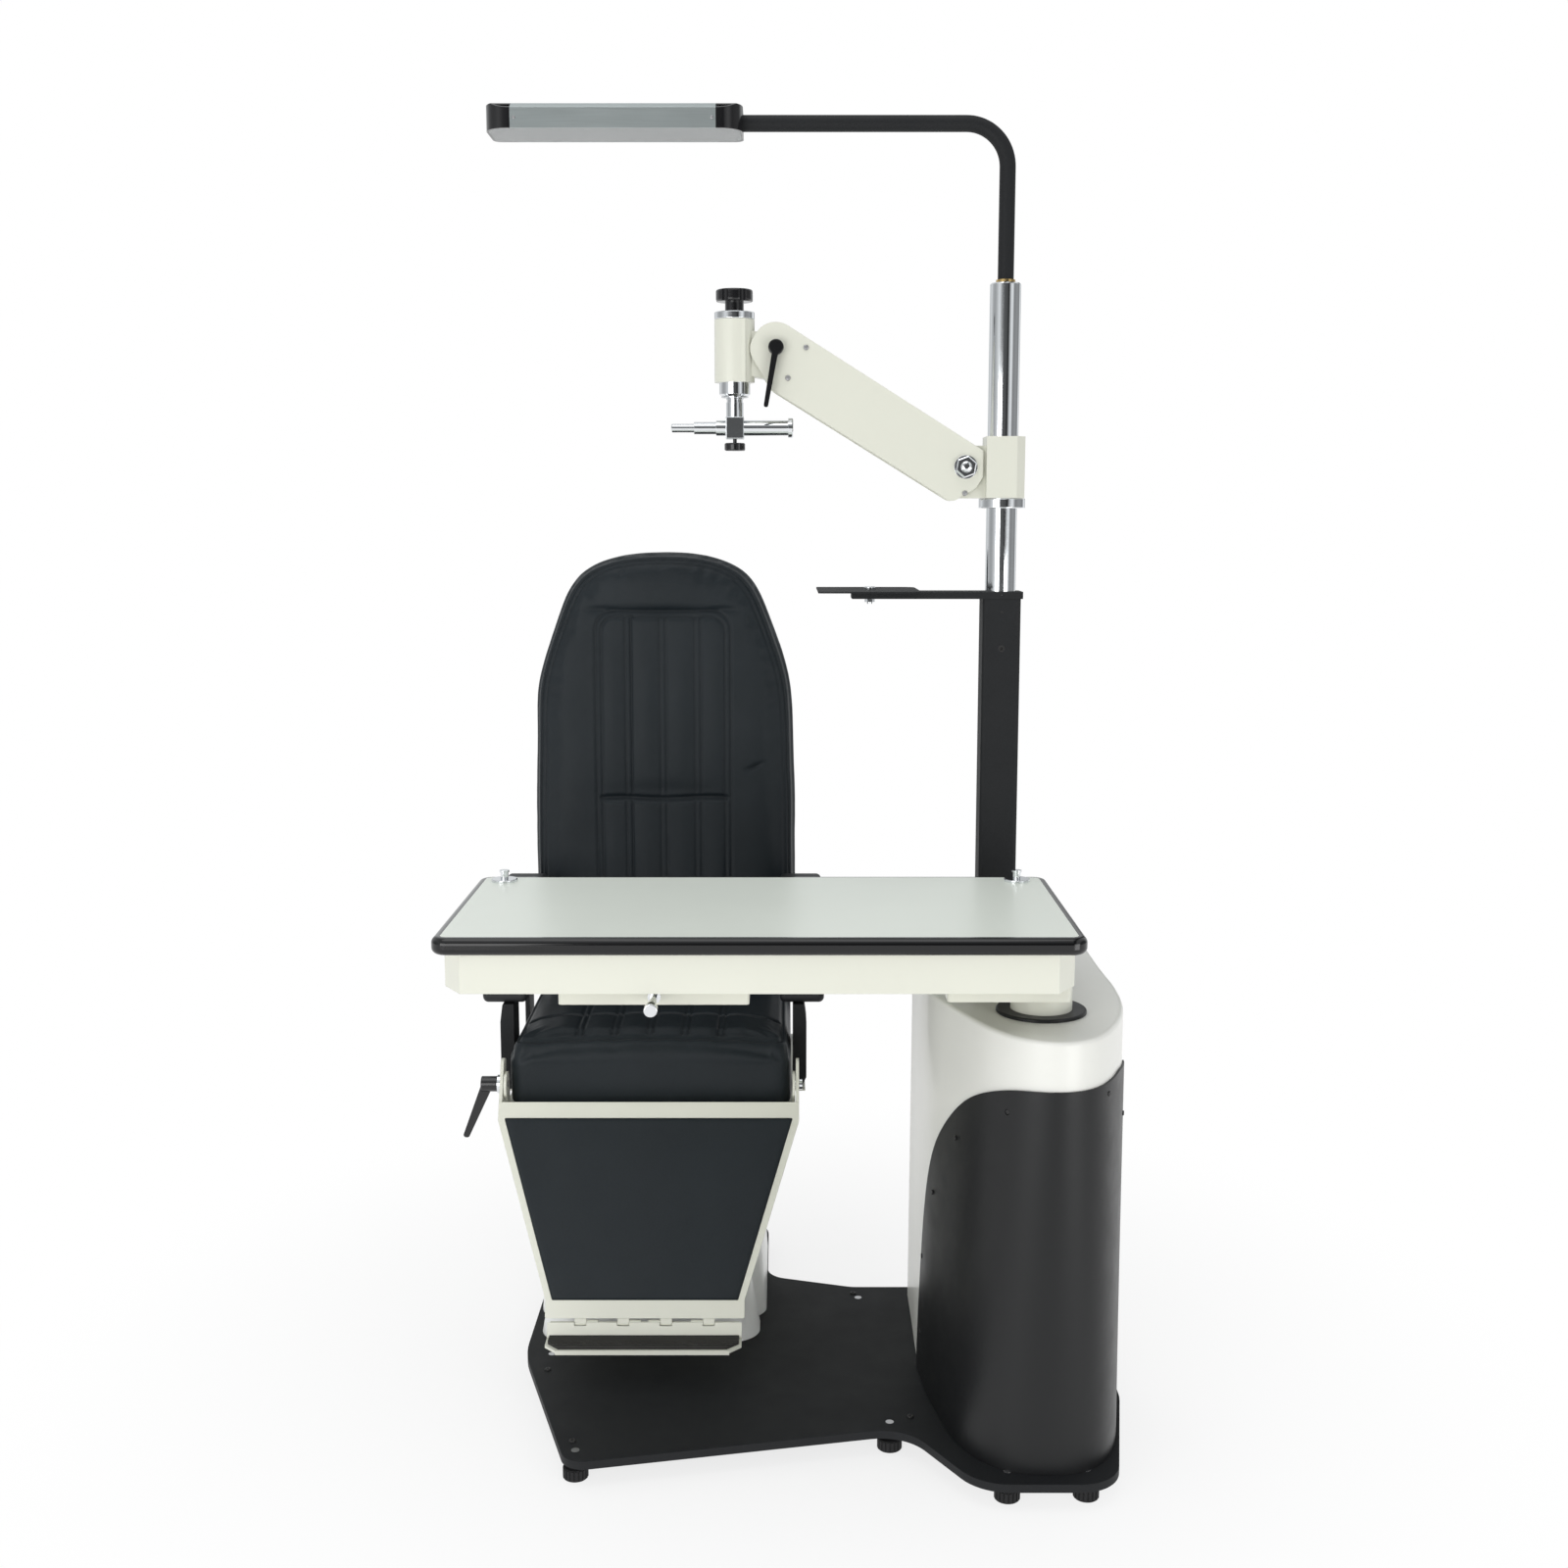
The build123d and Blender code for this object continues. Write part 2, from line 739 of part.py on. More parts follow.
def tray_bar():
    low, high = post_top, post_top + bar_height
    half = bar_width / 2
    bar = block(bar_left, bar_right, column_y - half, column_y + half, low, high)
    bar = fillet(bar.edges().filter_by(Axis.Z), bar_round * 2)
    bar -= rod_z(column_x, column_y, low, high, tube_radius + run_gap)
    bar -= rod_z(tray_bolt_x, column_y, low, high, tray_bolt_radius)
    face = column_y - half
    hole = rod_y(column_x, face, column_y - tube_radius, (low + high) / 2, bar_round)
    return bar - hole


def tray_bolt():
    top = post_top + bar_height + tray_plate
    bolt = rod_z(tray_bolt_x, column_y, post_top - tray_nut_drop, top, tray_bolt_radius)
    bolt += rod_z(tray_bolt_x, column_y, top, top + tray_head_height, tray_head_radius)
    bolt = fillet(bolt.edges().sort_by(Axis.Z)[-1], bar_round)
    nut = extrude(RegularPolygon(tray_bolt_radius * 2, 6), tray_nut_drop - bar_round * 2)
    return bolt + Pos(tray_bolt_x, column_y, post_top - tray_nut_drop + bar_round * 2) * nut


def tray():
    low = post_top + bar_height
    plate = prism(tray_outline, low, low + tray_plate)
    return plate - rod_z(tray_bolt_x, column_y, low, low + tray_plate, tray_bolt_radius + run_gap)


# Instrument table
def table_outline(inset, corner):
    return rect(table_left + inset, table_right - inset, table_front + inset, table_back - inset, corner)


def apron_outline(inset):
    x0, x1 = table_left + apron_inset + inset, table_right - apron_inset - inset
    y0, y1 = table_front + apron_inset + inset, table_back - apron_inset - inset
    cx, cy = apron_chamfer_x, apron_chamfer_y
    cut = inset * 0.45
    return [
        (x0 + cx - cut, y0, 3), (x1 - cx + cut, y0, 3), (x1, y0 + cy - cut, 3), (x1, y1 - cy + cut, 3),
        (x1 - cx + cut, y1, 3), (x0 + cx - cut, y1, 3), (x0, y1 - cy + cut, 3), (x0, y0 + cy - cut, 3),
    ]


def table_board():
    board = prism(table_outline(edging_width, table_corner - edging_width), apron_top, table_top)
    board -= tongue(0)
    for x in (stud_left_x, stud_right_x):
        board -= rod_z(x, stud_y, apron_top, table_top, stud_pin_radius)
    return board


def tongue(gap):
    middle = (apron_top + table_top) / 2
    low, high = middle - tongue_thick / 2, middle + tongue_thick / 2
    inner = edging_width + tongue_depth + gap
    ring = prism(table_outline(edging_width - gap, table_corner - edging_width + gap), low, high)
    return ring - prism(table_outline(inner, bar_round), low, high)


def table_edging():
    ring = prism(table_outline(0, table_corner), apron_top, table_top)
    ring = fillet(ring.edges().group_by(Axis.Z)[-1] + ring.edges().group_by(Axis.Z)[0], edging_round)
    ring -= prism(table_outline(edging_width, table_corner - edging_width), apron_top, table_top)
    return ring + tongue(0)


def apron():
    frame = prism(apron_outline(0), apron_low, apron_top)
    frame -= prism(apron_outline(thin), apron_low, apron_top - thin)
    frame -= prism(apron_outline(apron_flange), apron_top - thin, apron_top)
    y0 = table_front + apron_inset + thin
    y1 = table_back - apron_inset - thin
    for x in rail_middles:
        rail = block(x - rail_width / 2, x + rail_width / 2, y0, y1, apron_low, apron_top)
        frame += rail - block(x - rail_width / 2 + thin, x + rail_width / 2 - thin, y0, y1,
                              apron_low + thin, apron_top - thin)
    for x, y in support_screws():
        frame -= rod_z(x, y, apron_low, apron_low + thin, screw_shank)
    for x, y in box_screws():
        frame -= rod_z(x, y, apron_low, apron_low + thin, screw_shank)
    frame -= rod_z(lift_x, lift_y, apron_low, apron_top - thin, swing_nut_radius + thin)
    return frame


def support_screws():
    return [
        (x, lift_y + side * (support_depth / 2 - rail_width / 2))
        for x in rail_middles[2:] for side in (-1, 1)
    ]


def box_screws():
    return [(x, y) for x in rail_middles[:2] for y in (box_front + box_flange / 2, box_back - box_flange / 2)]


def support_plate():
    x0 = rail_middles[2] - rail_width / 2
    x1 = table_right - apron_inset
    low = apron_low - support_plate_thick
    half = support_depth / 2
    y0, y1 = lift_y - half, lift_y + half
    plate = prism(rect(x0, x1, y0, y1, bar_round * 4), low - support_skirt, apron_low)
    plate -= prism(rect(x0 + sheet, x1 + sheet, y0 + sheet, y1 - sheet, bar_round), low - support_skirt, low)
    plate -= rod_z(lift_x, lift_y, low, apron_low, swing_pin_radius + run_gap)
    for x, y in support_screws():
        plate -= rod_z(x, y, low, apron_low, screw_shank)
    return plate


def table_screws():
    screws = []
    for x, y, drop in [(x, y, support_plate_thick) for x, y in support_screws()] + [
            (x, y, thin) for x, y in box_screws()]:
        seat = apron_low - drop
        screw = button(x, y, 0, screw_head, screw_height, screw_shank, drop + thin)
        turned = Pos(x, y, seat) * Rot(X=180) * Pos(-x, -y, 0) * screw
        screws.append(turned)
    return screws


def table_column():
    top = apron_low - support_plate_thick
    tube = rod_z(lift_x, lift_y, table_column_low, top, table_column_radius)
    tube -= rod_z(lift_x, lift_y, table_column_low, top - lift_flange_thick,
                  table_column_radius - table_column_wall)
    pin_top = apron_low + swing_nut_height
    tube += rod_z(lift_x, lift_y, top, pin_top, swing_pin_radius)
    nut = extrude(RegularPolygon(swing_nut_radius, 6), swing_nut_height - skin_gap)
    return tube + Pos(lift_x, lift_y, apron_low + skin_gap) * nut


def instrument_studs():
    studs = []
    for x in (stud_left_x, stud_right_x):
        stud = rod_z(x, stud_y, table_top, table_top + stud_flange_thick, stud_flange_radius)
        stud = fillet(stud.edges().sort_by(Axis.Z)[-1], bar_round)
        top = table_top + stud_flange_thick + stud_pin_height
        stud += rod_z(x, stud_y, table_top, top, stud_pin_radius)
        stud += rod_z(x, stud_y, apron_top, table_top, stud_pin_radius)
        cap = rod_z(x, stud_y, top - stud_cap_height, top, stud_cap_radius)
        stud += cap
        studs.append(stud)
    return studs


def under_box():
    x0, x1 = rail_middles[0] - rail_width / 2, rail_middles[1] + rail_width / 2
    high, low = apron_low, apron_low - box_height
    tub = prism(rect(x0 + box_flange, x1 - box_flange, box_front + box_flange, box_back - box_flange, 5),
                low, high)
    tub -= prism(rect(x0 + box_flange + thin, x1 - box_flange - thin, box_front + box_flange + thin,
                      box_back - box_flange - thin, 3), low + thin, high)
    flange = prism(rect(x0, x1, box_front, box_back, 5), high - thin, high)
    flange -= prism(rect(x0 + box_flange + thin, x1 - box_flange - thin, box_front + box_flange + thin,
                         box_back - box_flange - thin, 3), high - thin, high)
    tub += flange
    rod_hole = lock_radius + run_gap
    tub -= rod_y(lock_x, box_front, box_front + box_flange * 2, lock_z, rod_hole)
    lug = block(lock_x - box_flange, lock_x + box_flange, lock_guide, lock_guide + box_flange / 2, low, high - thin)
    tub += lug - rod_y(lock_x, lock_guide, lock_guide + box_flange, lock_z, rod_hole)
    for x, y in box_screws():
        tub -= rod_z(x, y, high - thin, high, screw_shank)
    return tub


def lock_rod():
    wall = box_front + box_flange
    rod = rod_y(lock_x, lock_front, lock_back, lock_z, lock_radius)
    knob = rod_y(lock_x, lock_front, lock_front + lock_knob_length, lock_z, lock_knob_radius)
    knob = fillet(knob.edges().filter_by(GeomType.CIRCLE), bar_round)
    collar = rod_y(lock_x, wall - lock_travel - lock_collar_length, wall - lock_travel, lock_z,
                   lock_collar_radius)
    plunger = rod_y(lock_x, lock_back, lock_back + lock_collar_length, lock_z, lock_block_radius)
    return rod + knob + collar + plunger


# Phoropter arm: clamp block on the column, casing with a parallel link, head that stays level


def clamp_block():
    y0, y1 = column_y - clamp_half, column_y + clamp_half
    x1, cut = column_x + clamp_half, clamp_chamfer
    body_left = arm_pivot_x + arm_end_radius + skin_gap
    plan = [
        (body_left, y0, 1), (x1 - cut, y0, 1), (x1, y0 + cut, 1), (x1, y1 - cut, 1), (x1 - cut, y1, 1),
        (body_left, y1, 1),
    ]
    high = clamp_low + clamp_height
    body = prism(plan, clamp_low, high)
    lug = block(arm_pivot_x - lug_reach / 2, body_left + clamp_chamfer, column_y - lug_half,
                column_y + lug_half, clamp_low, high - clamp_chamfer)
    lug -= block(arm_pivot_x - lug_reach / 2, arm_pivot_x - clamp_chamfer, column_y - lug_half,
                 column_y + lug_half, arm_pivot_z + clamp_chamfer, high)
    body += lug
    body -= rod_z(column_x, column_y, clamp_low, high, tube_radius + run_gap)
    body -= rod_y(arm_pivot_x, column_y - clamp_half, column_y + clamp_half, arm_pivot_z, arm_bolt_radius)
    low_pin = arm_pivot_z - link_drop
    body -= rod_y(arm_pivot_x, column_y - clamp_half, column_y + clamp_half, low_pin, link_pin_radius)
    slot = link_half + slide_gap
    reach = link_height / 2 + slide_gap * 2
    body -= block(arm_pivot_x - lug_reach, arm_pivot_x + reach, column_y - slot, column_y + slot,
                  low_pin - reach * 2, low_pin + link_drop / 2 + reach)
    return body


def arm_shape(half, inset):
    up, down = arm_above - inset, -arm_below + inset
    r0, r1 = arm_end_radius - inset, head_end_radius - inset
    outline = [
        (r0, up - r0 * 0.1, 4), (r0, -r0 * 0.6, 16), (r0 * 0.35, down, 16),
        (-arm_length + r1 * 0.7, down, 30), (-arm_length - r1, -r1 * head_end_low_share, 30), (-arm_length - r1, up, 36),
    ]
    return front_prism(outline, -half, half)


def arm_casing():
    body = arm_shape(arm_half, 0)
    inner = arm_shape(arm_half - arm_sheet, arm_sheet)
    body -= inner
    # Open along the underside and at both ends, so that the lugs and the link pass
    gap = arm_half - arm_sheet
    body -= block(-arm_length - head_end_radius * 2, arm_end_radius * 2, -gap, gap, -arm_below * 2,
                  -arm_below + arm_sheet * 4)
    body -= block(-arm_end_radius * 1.2, arm_end_radius * 2, -gap, gap, -arm_below, arm_above * 2)
    body -= block(-arm_length - head_end_radius * 2, -arm_length + head_end_radius * 1.2, -gap, gap,
                  -arm_below, arm_above * 2)
    body = Pos(arm_pivot_x, column_y, arm_pivot_z) * Rot(Y=arm_slope) * body
    body -= rod_y(arm_pivot_x, column_y - arm_half, column_y + arm_half, arm_pivot_z,
                  arm_bolt_radius + run_gap)
    body -= rod_y(head_pivot_x, column_y - arm_half, column_y + arm_half, head_pivot_z,
                  arm_bolt_radius + run_gap)
    far = arm_pivot_x + arm_end_cut
    body -= block(far, far + arm_end_radius, column_y - arm_half, column_y + arm_half,
                  arm_pivot_z - arm_below, arm_pivot_z + arm_below)
    return body


def arm_bolt():
    """Bolt through clamp lug and both cheeks, hexagon nut to the front."""
    return hex_bolt(arm_pivot_x, arm_pivot_z)


def hex_bolt(x, z):
    front = column_y - arm_half - slide_gap
    back = column_y + arm_half + slide_gap
    shaft = rod_y(x, front - arm_nut_height, back, z, arm_bolt_radius)
    plane = Plane(origin=(x, front, z), x_dir=(1, 0, 0), z_dir=(0, -1, 0))
    nut = extrude(plane * RegularPolygon(arm_nut_radius, 6), arm_nut_height, dir=(0, -1, 0))
    washer = rod_y(x, front - thin, front, z, arm_nut_radius + thin)
    head = rod_y(x, back, back + arm_nut_height / 2, z, arm_nut_radius)
    return shaft + nut + washer + head


def arm_link():
    """Parallel link inside the casing, pinned at the clamp end."""
    end = link_height / 2
    bar = front_prism([(end, end, end - 1), (end, -end, end - 1), (-arm_length - end, -end, end - 1),
                       (-arm_length - end, end, end - 1)], -link_half, link_half)
    bar = Pos(arm_pivot_x, column_y, arm_pivot_z - link_drop) * Rot(Y=arm_slope) * bar
    for x, z in ((arm_pivot_x, arm_pivot_z - link_drop), (head_pivot_x, head_pivot_z - link_drop)):
        bar -= rod_y(x, column_y - link_half, column_y + link_half, z, link_pin_radius + run_gap)
    return bar


def link_pin(x, z, half):
    return rod_y(x, column_y - half, column_y + half, z, link_pin_radius)


def head_block():
    low, high = head_pivot_z - head_below, head_pivot_z + head_above
    body = rod_z(head_x, column_y, low, high, head_radius)
    right = head_pivot_x - head_end_radius - head_block_air
    body += block(head_x, right, column_y - head_radius + thin, column_y + head_radius - thin, low, high)
    reach = head_pivot_x + head_lug_reach
    lug = front_prism([(right - head_lug_reach, low + clamp_chamfer, 0), (reach - head_lug_reach, low + thin, 8),
                       (reach, head_pivot_z - link_drop, 8), (reach, head_pivot_z + head_lug_reach, 10),
                       (right - head_lug_reach, high - clamp_chamfer, 0)],
                      column_y - head_lug_half, column_y + head_lug_half)
    body += lug
    body -= rod_z(head_x, column_y, low, high, spindle_radius + run_gap)
    body -= rod_y(head_pivot_x, column_y - head_radius, column_y + head_radius, head_pivot_z, arm_bolt_radius)
    z = head_pivot_z - link_drop
    body -= rod_y(head_pivot_x, column_y - head_radius, column_y + head_radius, z, link_pin_radius)
    slot, reach = link_half + slide_gap, link_height / 2 + slide_gap * 2
    body -= block(head_pivot_x - reach * 1.6, head_pivot_x + head_lug_reach * 2, column_y - slot,
                  column_y + slot, z - link_drop, z + reach * 1.6)
    return body


def head_sleeve():
    low = head_pivot_z - head_below
    sleeve = rod_z(head_x, column_y, low - sleeve_height, low, sleeve_radius)
    sleeve = chamfer(sleeve.edges().sort_by(Axis.Z)[0], sleeve_chamfer)
    return sleeve - rod_z(head_x, column_y, low - sleeve_height, low, spindle_radius + run_gap)


def head_collar():
    high = head_pivot_z + head_above
    collar = rod_z(head_x, column_y, high, high + collar_height, head_radius)
    collar = fillet(collar.edges().filter_by(GeomType.CIRCLE), bar_round)
    return collar - rod_z(head_x, column_y, high, high + collar_height, spindle_radius + run_gap)


def lobed(radius, height, lobes, groove):
    """Grip knob: disc with rounded hollows round its rim, standing on z = 0."""
    knob = Pos(0, 0, height / 2) * Cylinder(radius, height)
    knob = fillet(knob.edges().filter_by(GeomType.CIRCLE), height * 0.2)
    for i in range(lobes):
        knob -= Rot(Z=i * 360 / lobes) * Pos(radius + groove * 0.45, 0, height / 2) * Cylinder(groove, height)
    return knob


def top_knob():
    high = head_pivot_z + head_above + collar_height
    stem = rod_z(head_x, column_y, high + skin_gap, high + knob_stem_height, knob_stem_radius)
    cap = Pos(head_x, column_y, high + knob_stem_height) * lobed(knob_radius, knob_height, knob_lobes, knob_groove)
    stud = rod_z(head_x, column_y, high - collar_height, high + skin_gap, knob_stud_radius)
    return stem + cap + stud


def spindle():
    """Turning spindle with the square cross block at its foot."""
    low = head_pivot_z - head_below - sleeve_height
    high = head_pivot_z + head_above + collar_height
    shaft = rod_z(head_x, column_y, low - spindle_drop, high - spindle_air, spindle_radius)
    groove = rod_z(head_x, column_y, low - spindle_drop * 0.3, low - spindle_drop * 0.15, spindle_radius)
    shaft -= groove - rod_z(head_x, column_y, low - spindle_drop, low, spindle_radius - 1)
    shaft -= rod_z(head_x, column_y, high - collar_height - spindle_air, high, knob_stud_radius + run_gap)
    top = low - spindle_drop
    cross = block(head_x - cross_half, head_x + cross_half, column_y - cross_half, column_y + cross_half,
                  top - cross_height, top)
    cross = fillet(cross.edges(), bar_round)
    flange = rod_z(head_x, column_y, low - thin, low - skin_gap, sleeve_radius - sleeve_chamfer)
    body = shaft + cross + flange
    z = top - cross_height / 2
    body -= rod_x(head_x - cross_half, head_x + cross_half, column_y, z, bar_steps[2][2] + run_gap)
    return body - rod_z(head_x, column_y, top - cross_height, z, star_stem_radius + run_gap)


def cross_bar():
    z = cross_bar_z()
    bar = rod_x(head_x + bar_steps[0][0], head_x + bar_steps[0][1], column_y, z, bar_steps[0][2])
    for x0, x1, radius in bar_steps[1:]:
        bar += rod_x(head_x + x0, head_x + x1, column_y, z, radius)
    ends = bar.edges().filter_by(GeomType.CIRCLE).sort_by(Axis.X)
    return chamfer([ends[0], ends[-1]], bar_round)


def cross_bar_z():
    return head_pivot_z - head_below - sleeve_height - spindle_drop - cross_height / 2


def star_knob():
    z = cross_bar_z()
    low = z - cross_height / 2
    stem = rod_z(head_x, column_y, low - star_stem_height, z - bar_steps[2][2] - run_gap, star_stem_radius)
    knob = Pos(head_x, column_y, low - star_stem_height) * Rot(X=180) * lobed(
        star_radius, star_height, star_lobes, star_groove)
    return stem + knob


def arm_lever():
    """Clamping lever on the head pivot bolt."""
    front = column_y - arm_half - slide_gap
    z, x = head_pivot_z, head_pivot_x
    hub = rod_y(x, front - lever_hub_height, front, z, lever_hub_radius)
    hub = fillet(hub.edges().filter_by(GeomType.CIRCLE).sort_by(Axis.Y)[0], thin)
    half, tip = lever_width / 2, lever_width * 0.34
    bar = front_prism([(0, half, 0), (0, -half, 0), (lever_reach, -tip, tip * 0.9), (lever_reach, tip, tip * 0.9)],
                      front - lever_hub_height, front - lever_hub_height + lever_thick)
    bar = Pos(x, 0, z) * Rot(Y=-lever_angle) * bar
    shaft = rod_y(x, front, column_y + arm_half + slide_gap, z, arm_bolt_radius)
    back = column_y + arm_half + slide_gap
    nut = rod_y(x, back, back + arm_nut_height / 2, z, arm_nut_radius)
    return hub + bar, shaft + nut


# Lamp
def lamp_tube():
    low, corner = tube_top - lamp_tail + bush_height + skin_gap, lamp_axis_z - lamp_bend
    end = lamp_middle + lamp_half + lamp_cap - lamp_spigot
    start = (column_x, column_y, low)
    mid = lamp_bend * (1 - cos(radians(45)))
    path = Wire([
        Line(start, (column_x, column_y, corner)),
        ThreePointArc((column_x, column_y, corner), (column_x - mid, column_y, lamp_axis_z - mid),
                      (column_x - lamp_bend, column_y, lamp_axis_z)),
        Line((column_x - lamp_bend, column_y, lamp_axis_z), (end, column_y, lamp_axis_z)),
    ])
    plane = Plane(origin=start, z_dir=(0, 0, 1))
    tube = sweep(plane * Circle(lamp_tube_radius), path=path)
    return tube - sweep(plane * Circle(lamp_tube_radius - lamp_tube_wall), path=path)


def lamp_section(inset):
    """Section of the lamp housing (y, z): bevelled top, open bottom."""
    y0, y1 = lamp_front + inset, lamp_back - inset
    top = lamp_low + lamp_height - inset
    low = lamp_low if inset == 0 else lamp_low - thin
    bevel = lamp_bevel - inset / 2
    return [(y0, low, 0), (y0, top - bevel, 1), (y0 + bevel * 1.6, top, 1), (y1 - bevel * 1.6, top, 1),
            (y1, top - bevel, 1), (y1, low, 0)]


def lamp_body():
    x0, x1 = lamp_middle - lamp_half, lamp_middle + lamp_half
    body = side_prism(lamp_section(0), x0, x1) - side_prism(lamp_section(lamp_wall), x0, x1)
    for y in (lamp_front + lamp_wall, lamp_back - lamp_wall - lamp_wall):
        body += block(x0, x1, y, y + lamp_wall, lamp_low + lens_thick, lamp_low + lens_thick * 2)
    return body


def cap_plan(side, inset):
    """Plan of an end cap: generous front corner, small back corner."""
    near = lamp_middle + side * lamp_half
    far = near + side * (lamp_cap - inset)
    y0, y1 = lamp_front + inset, lamp_back - inset
    r0, r1 = lamp_front_round - inset, lamp_back_round - inset
    return [(near, y0, 0), (far, y0, r0), (far, y1, r1), (near, y1, 0)]


def lamp_cap_piece(side):
    top = lamp_low + lamp_height
    cap = prism(cap_plan(side, 0), lamp_low, top)
    cap = fillet(cap.edges().group_by(Axis.Z)[-1].filter_by(GeomType.LINE, reverse=True), cap_round)
    cap -= prism(cap_plan(side, lamp_wall), lamp_low, top - lamp_wall)
    near = lamp_middle + side * lamp_half
    far = near + side * lamp_cap
    trim = side_prism(lamp_section(0), min(near, far), max(near, far))
    cap = cap & trim
    step = prism(cap_plan(side, lamp_wall), lamp_low + lens_thick, lamp_low + lens_thick * 2)
    step -= prism(cap_plan(side, lamp_wall * 2), lamp_low + lens_thick, lamp_low + lens_thick * 2)
    cap += step
    if side > 0:
        cap += rod_x(far - lamp_spigot, far - lamp_wall, column_y, lamp_axis_z, lamp_tube_radius + cap_round)
        cap -= rod_x(far - lamp_spigot, far, column_y, lamp_axis_z, lamp_tube_radius + run_gap)
    return cap


def lens():
    """Prismatic lens plate dropped into the housing, its pattern moulded underneath."""
    inset = lamp_wall + slide_gap
    left, right = cap_plan(-1, inset), cap_plan(1, inset)
    plan = [left[1], right[1], right[2], left[2]]
    return prism(plan, lamp_low, lamp_low + lens_thick)


def led_strip():
    x0, x1 = lamp_middle - lamp_half + led_width, lamp_middle + lamp_half - led_width
    top = lamp_low + lamp_height - lamp_wall
    return block(x0, x1, column_y - led_width / 2, column_y + led_width / 2, top - led_thick, top)


# Chair pedestal and lift column
def tapered(foot, head, z0, z1, grow):
    def shifted(points):
        mid = sum(p[1] for p in points) / len(points)
        return [
            (x + grow * (1 if x > 0 else -1), y + grow * (1 if y > mid else -1), max(r + grow, 1))
            for x, y, r in points
        ]
    low = Pos(0, 0, z0) * make_face(rounded(shifted(foot)))
    high = Pos(0, 0, z1) * make_face(rounded(shifted(head)))
    return loft([low, high], ruled=True)


def pedestal_cover():
    body = tapered(pedestal_foot, pedestal_head, plate_top, pedestal_top, 0)
    body = fillet(body.edges().group_by(Axis.Z)[-1], pedestal_round)
    body -= tapered(pedestal_foot, pedestal_head, plate_top, pedestal_top - cabinet_wall, -cabinet_wall)
    half = sleeve_side / 2 + slide_gap * 2
    y0, y1 = lift_middle_y - half, lift_middle_y + half
    return body - prism(rect(-half, half, y0, y1, column_corner), pedestal_top - cabinet_wall * 2, pedestal_top)


def toe_cover():
    body = tapered(toe_foot, toe_head, plate_top, toe_top, 0)
    body = fillet(body.edges().group_by(Axis.Z)[-1], toe_round)
    return body - tapered(toe_foot, toe_head, plate_top, toe_top - cabinet_wall, -cabinet_wall)


def chair_guide():
    column = square_tube(0, lift_middle_y, plate_top, guide_top, guide_side, guide_wall, column_corner)
    half = guide_flange / 2
    hole = guide_side / 2 - guide_wall
    y = lift_middle_y
    flange = prism(rect(-half, half, y - half, y + half, column_corner), plate_top, plate_top + lift_flange_thick)
    flange -= prism(rect(-hole, hole, y - hole, y + hole, column_corner / 2), plate_top,
                    plate_top + lift_flange_thick)
    return column + flange


def lift_sleeve():
    wall = (sleeve_side - guide_side) / 2 - slide_gap
    return square_tube(0, lift_middle_y, sleeve_bottom, pan_bottom, sleeve_side, wall,
                       column_corner + wall)


# Seat


def mirrored(shape):
    return [shape, mirror(shape, about=Plane.YZ)]


def seat_frame():
    plate = prism(rect(-pan_half, pan_half, seat_front + sheet, seat_back, 6), pan_bottom, pan_top)
    x0, y0, y1 = pan_half - rim_inset, seat_front + rim_inset, seat_back - rim_inset
    rim = prism(rect(-x0, x0, y0, y1, 10), pan_bottom - rim_drop, pan_bottom)
    rim -= prism(rect(-x0 + sheet, x0 - sheet, y0 + sheet, y1 - sheet, 7), pan_bottom - rim_drop, pan_bottom)
    frame = plate + rim
    ear = side_prism(
        [(pivot_y + ear_half, pan_bottom, 0), (pivot_y + ear_half, pivot_z + ear_half, ear_half * 0.95),
         (pivot_y - ear_half, pivot_z + ear_half, ear_half * 0.95),
         (pivot_y - ear_half, pivot_z - ear_half * 0.7, 6), (pivot_y - sheet, pivot_z - ear_half * 1.35, 6),
         (pivot_y, pan_bottom, 0)],
        ear_inner, ear_inner + ear_thick)
    for piece in mirrored(ear - rod_x(ear_inner, pan_half, pivot_y, pivot_z, bolt_radius)):
        frame += piece
    lug = [(seat_back - lug_pad, pan_bottom, 0), (hinge_y + hinge_lug_radius, pan_bottom, 6),
           (hinge_y + hinge_lug_radius, hinge_z + hinge_lug_radius, hinge_lug_radius * 0.95),
           (hinge_y - hinge_lug_radius, hinge_z + hinge_lug_radius, hinge_lug_radius * 0.95),
           (hinge_y - hinge_lug_radius, pan_top + lug_pad, 8), (seat_back - lug_pad, pan_top, 0)]
    near = back_bar_x - back_bar_thick / 2 - slide_gap
    far = back_bar_x + back_bar_thick / 2 + slide_gap
    for x in (near - lug_thick, far):
        plate = side_prism(lug, x, x + lug_thick)
        plate -= side_prism([(seat_back - lug_pad * 2, pan_top, 0), (seat_back + sheet, pan_top, 0),
                             (seat_back + sheet, hinge_z, 0), (seat_back - lug_pad * 2, hinge_z, 0)],
                            x, x + lug_thick)
        plate -= rod_x(x, x + lug_thick, hinge_y, hinge_z, hinge_radius)
        for piece in mirrored(plate):
            frame += piece
    web = block(near - lug_thick, far + lug_thick, seat_back - lug_pad, hinge_y - hinge_lug_radius, pan_bottom,
                pan_top)
    for piece in mirrored(web):
        frame += piece
    for y0, y1 in ((bracket_front, bracket_back), (arm_hinge_y - post_half, arm_hinge_y + post_half)):
        for piece in mirrored(block(x0, tab_half, y0, y1, pan_bottom, pan_top)):
            frame += piece
    return frame


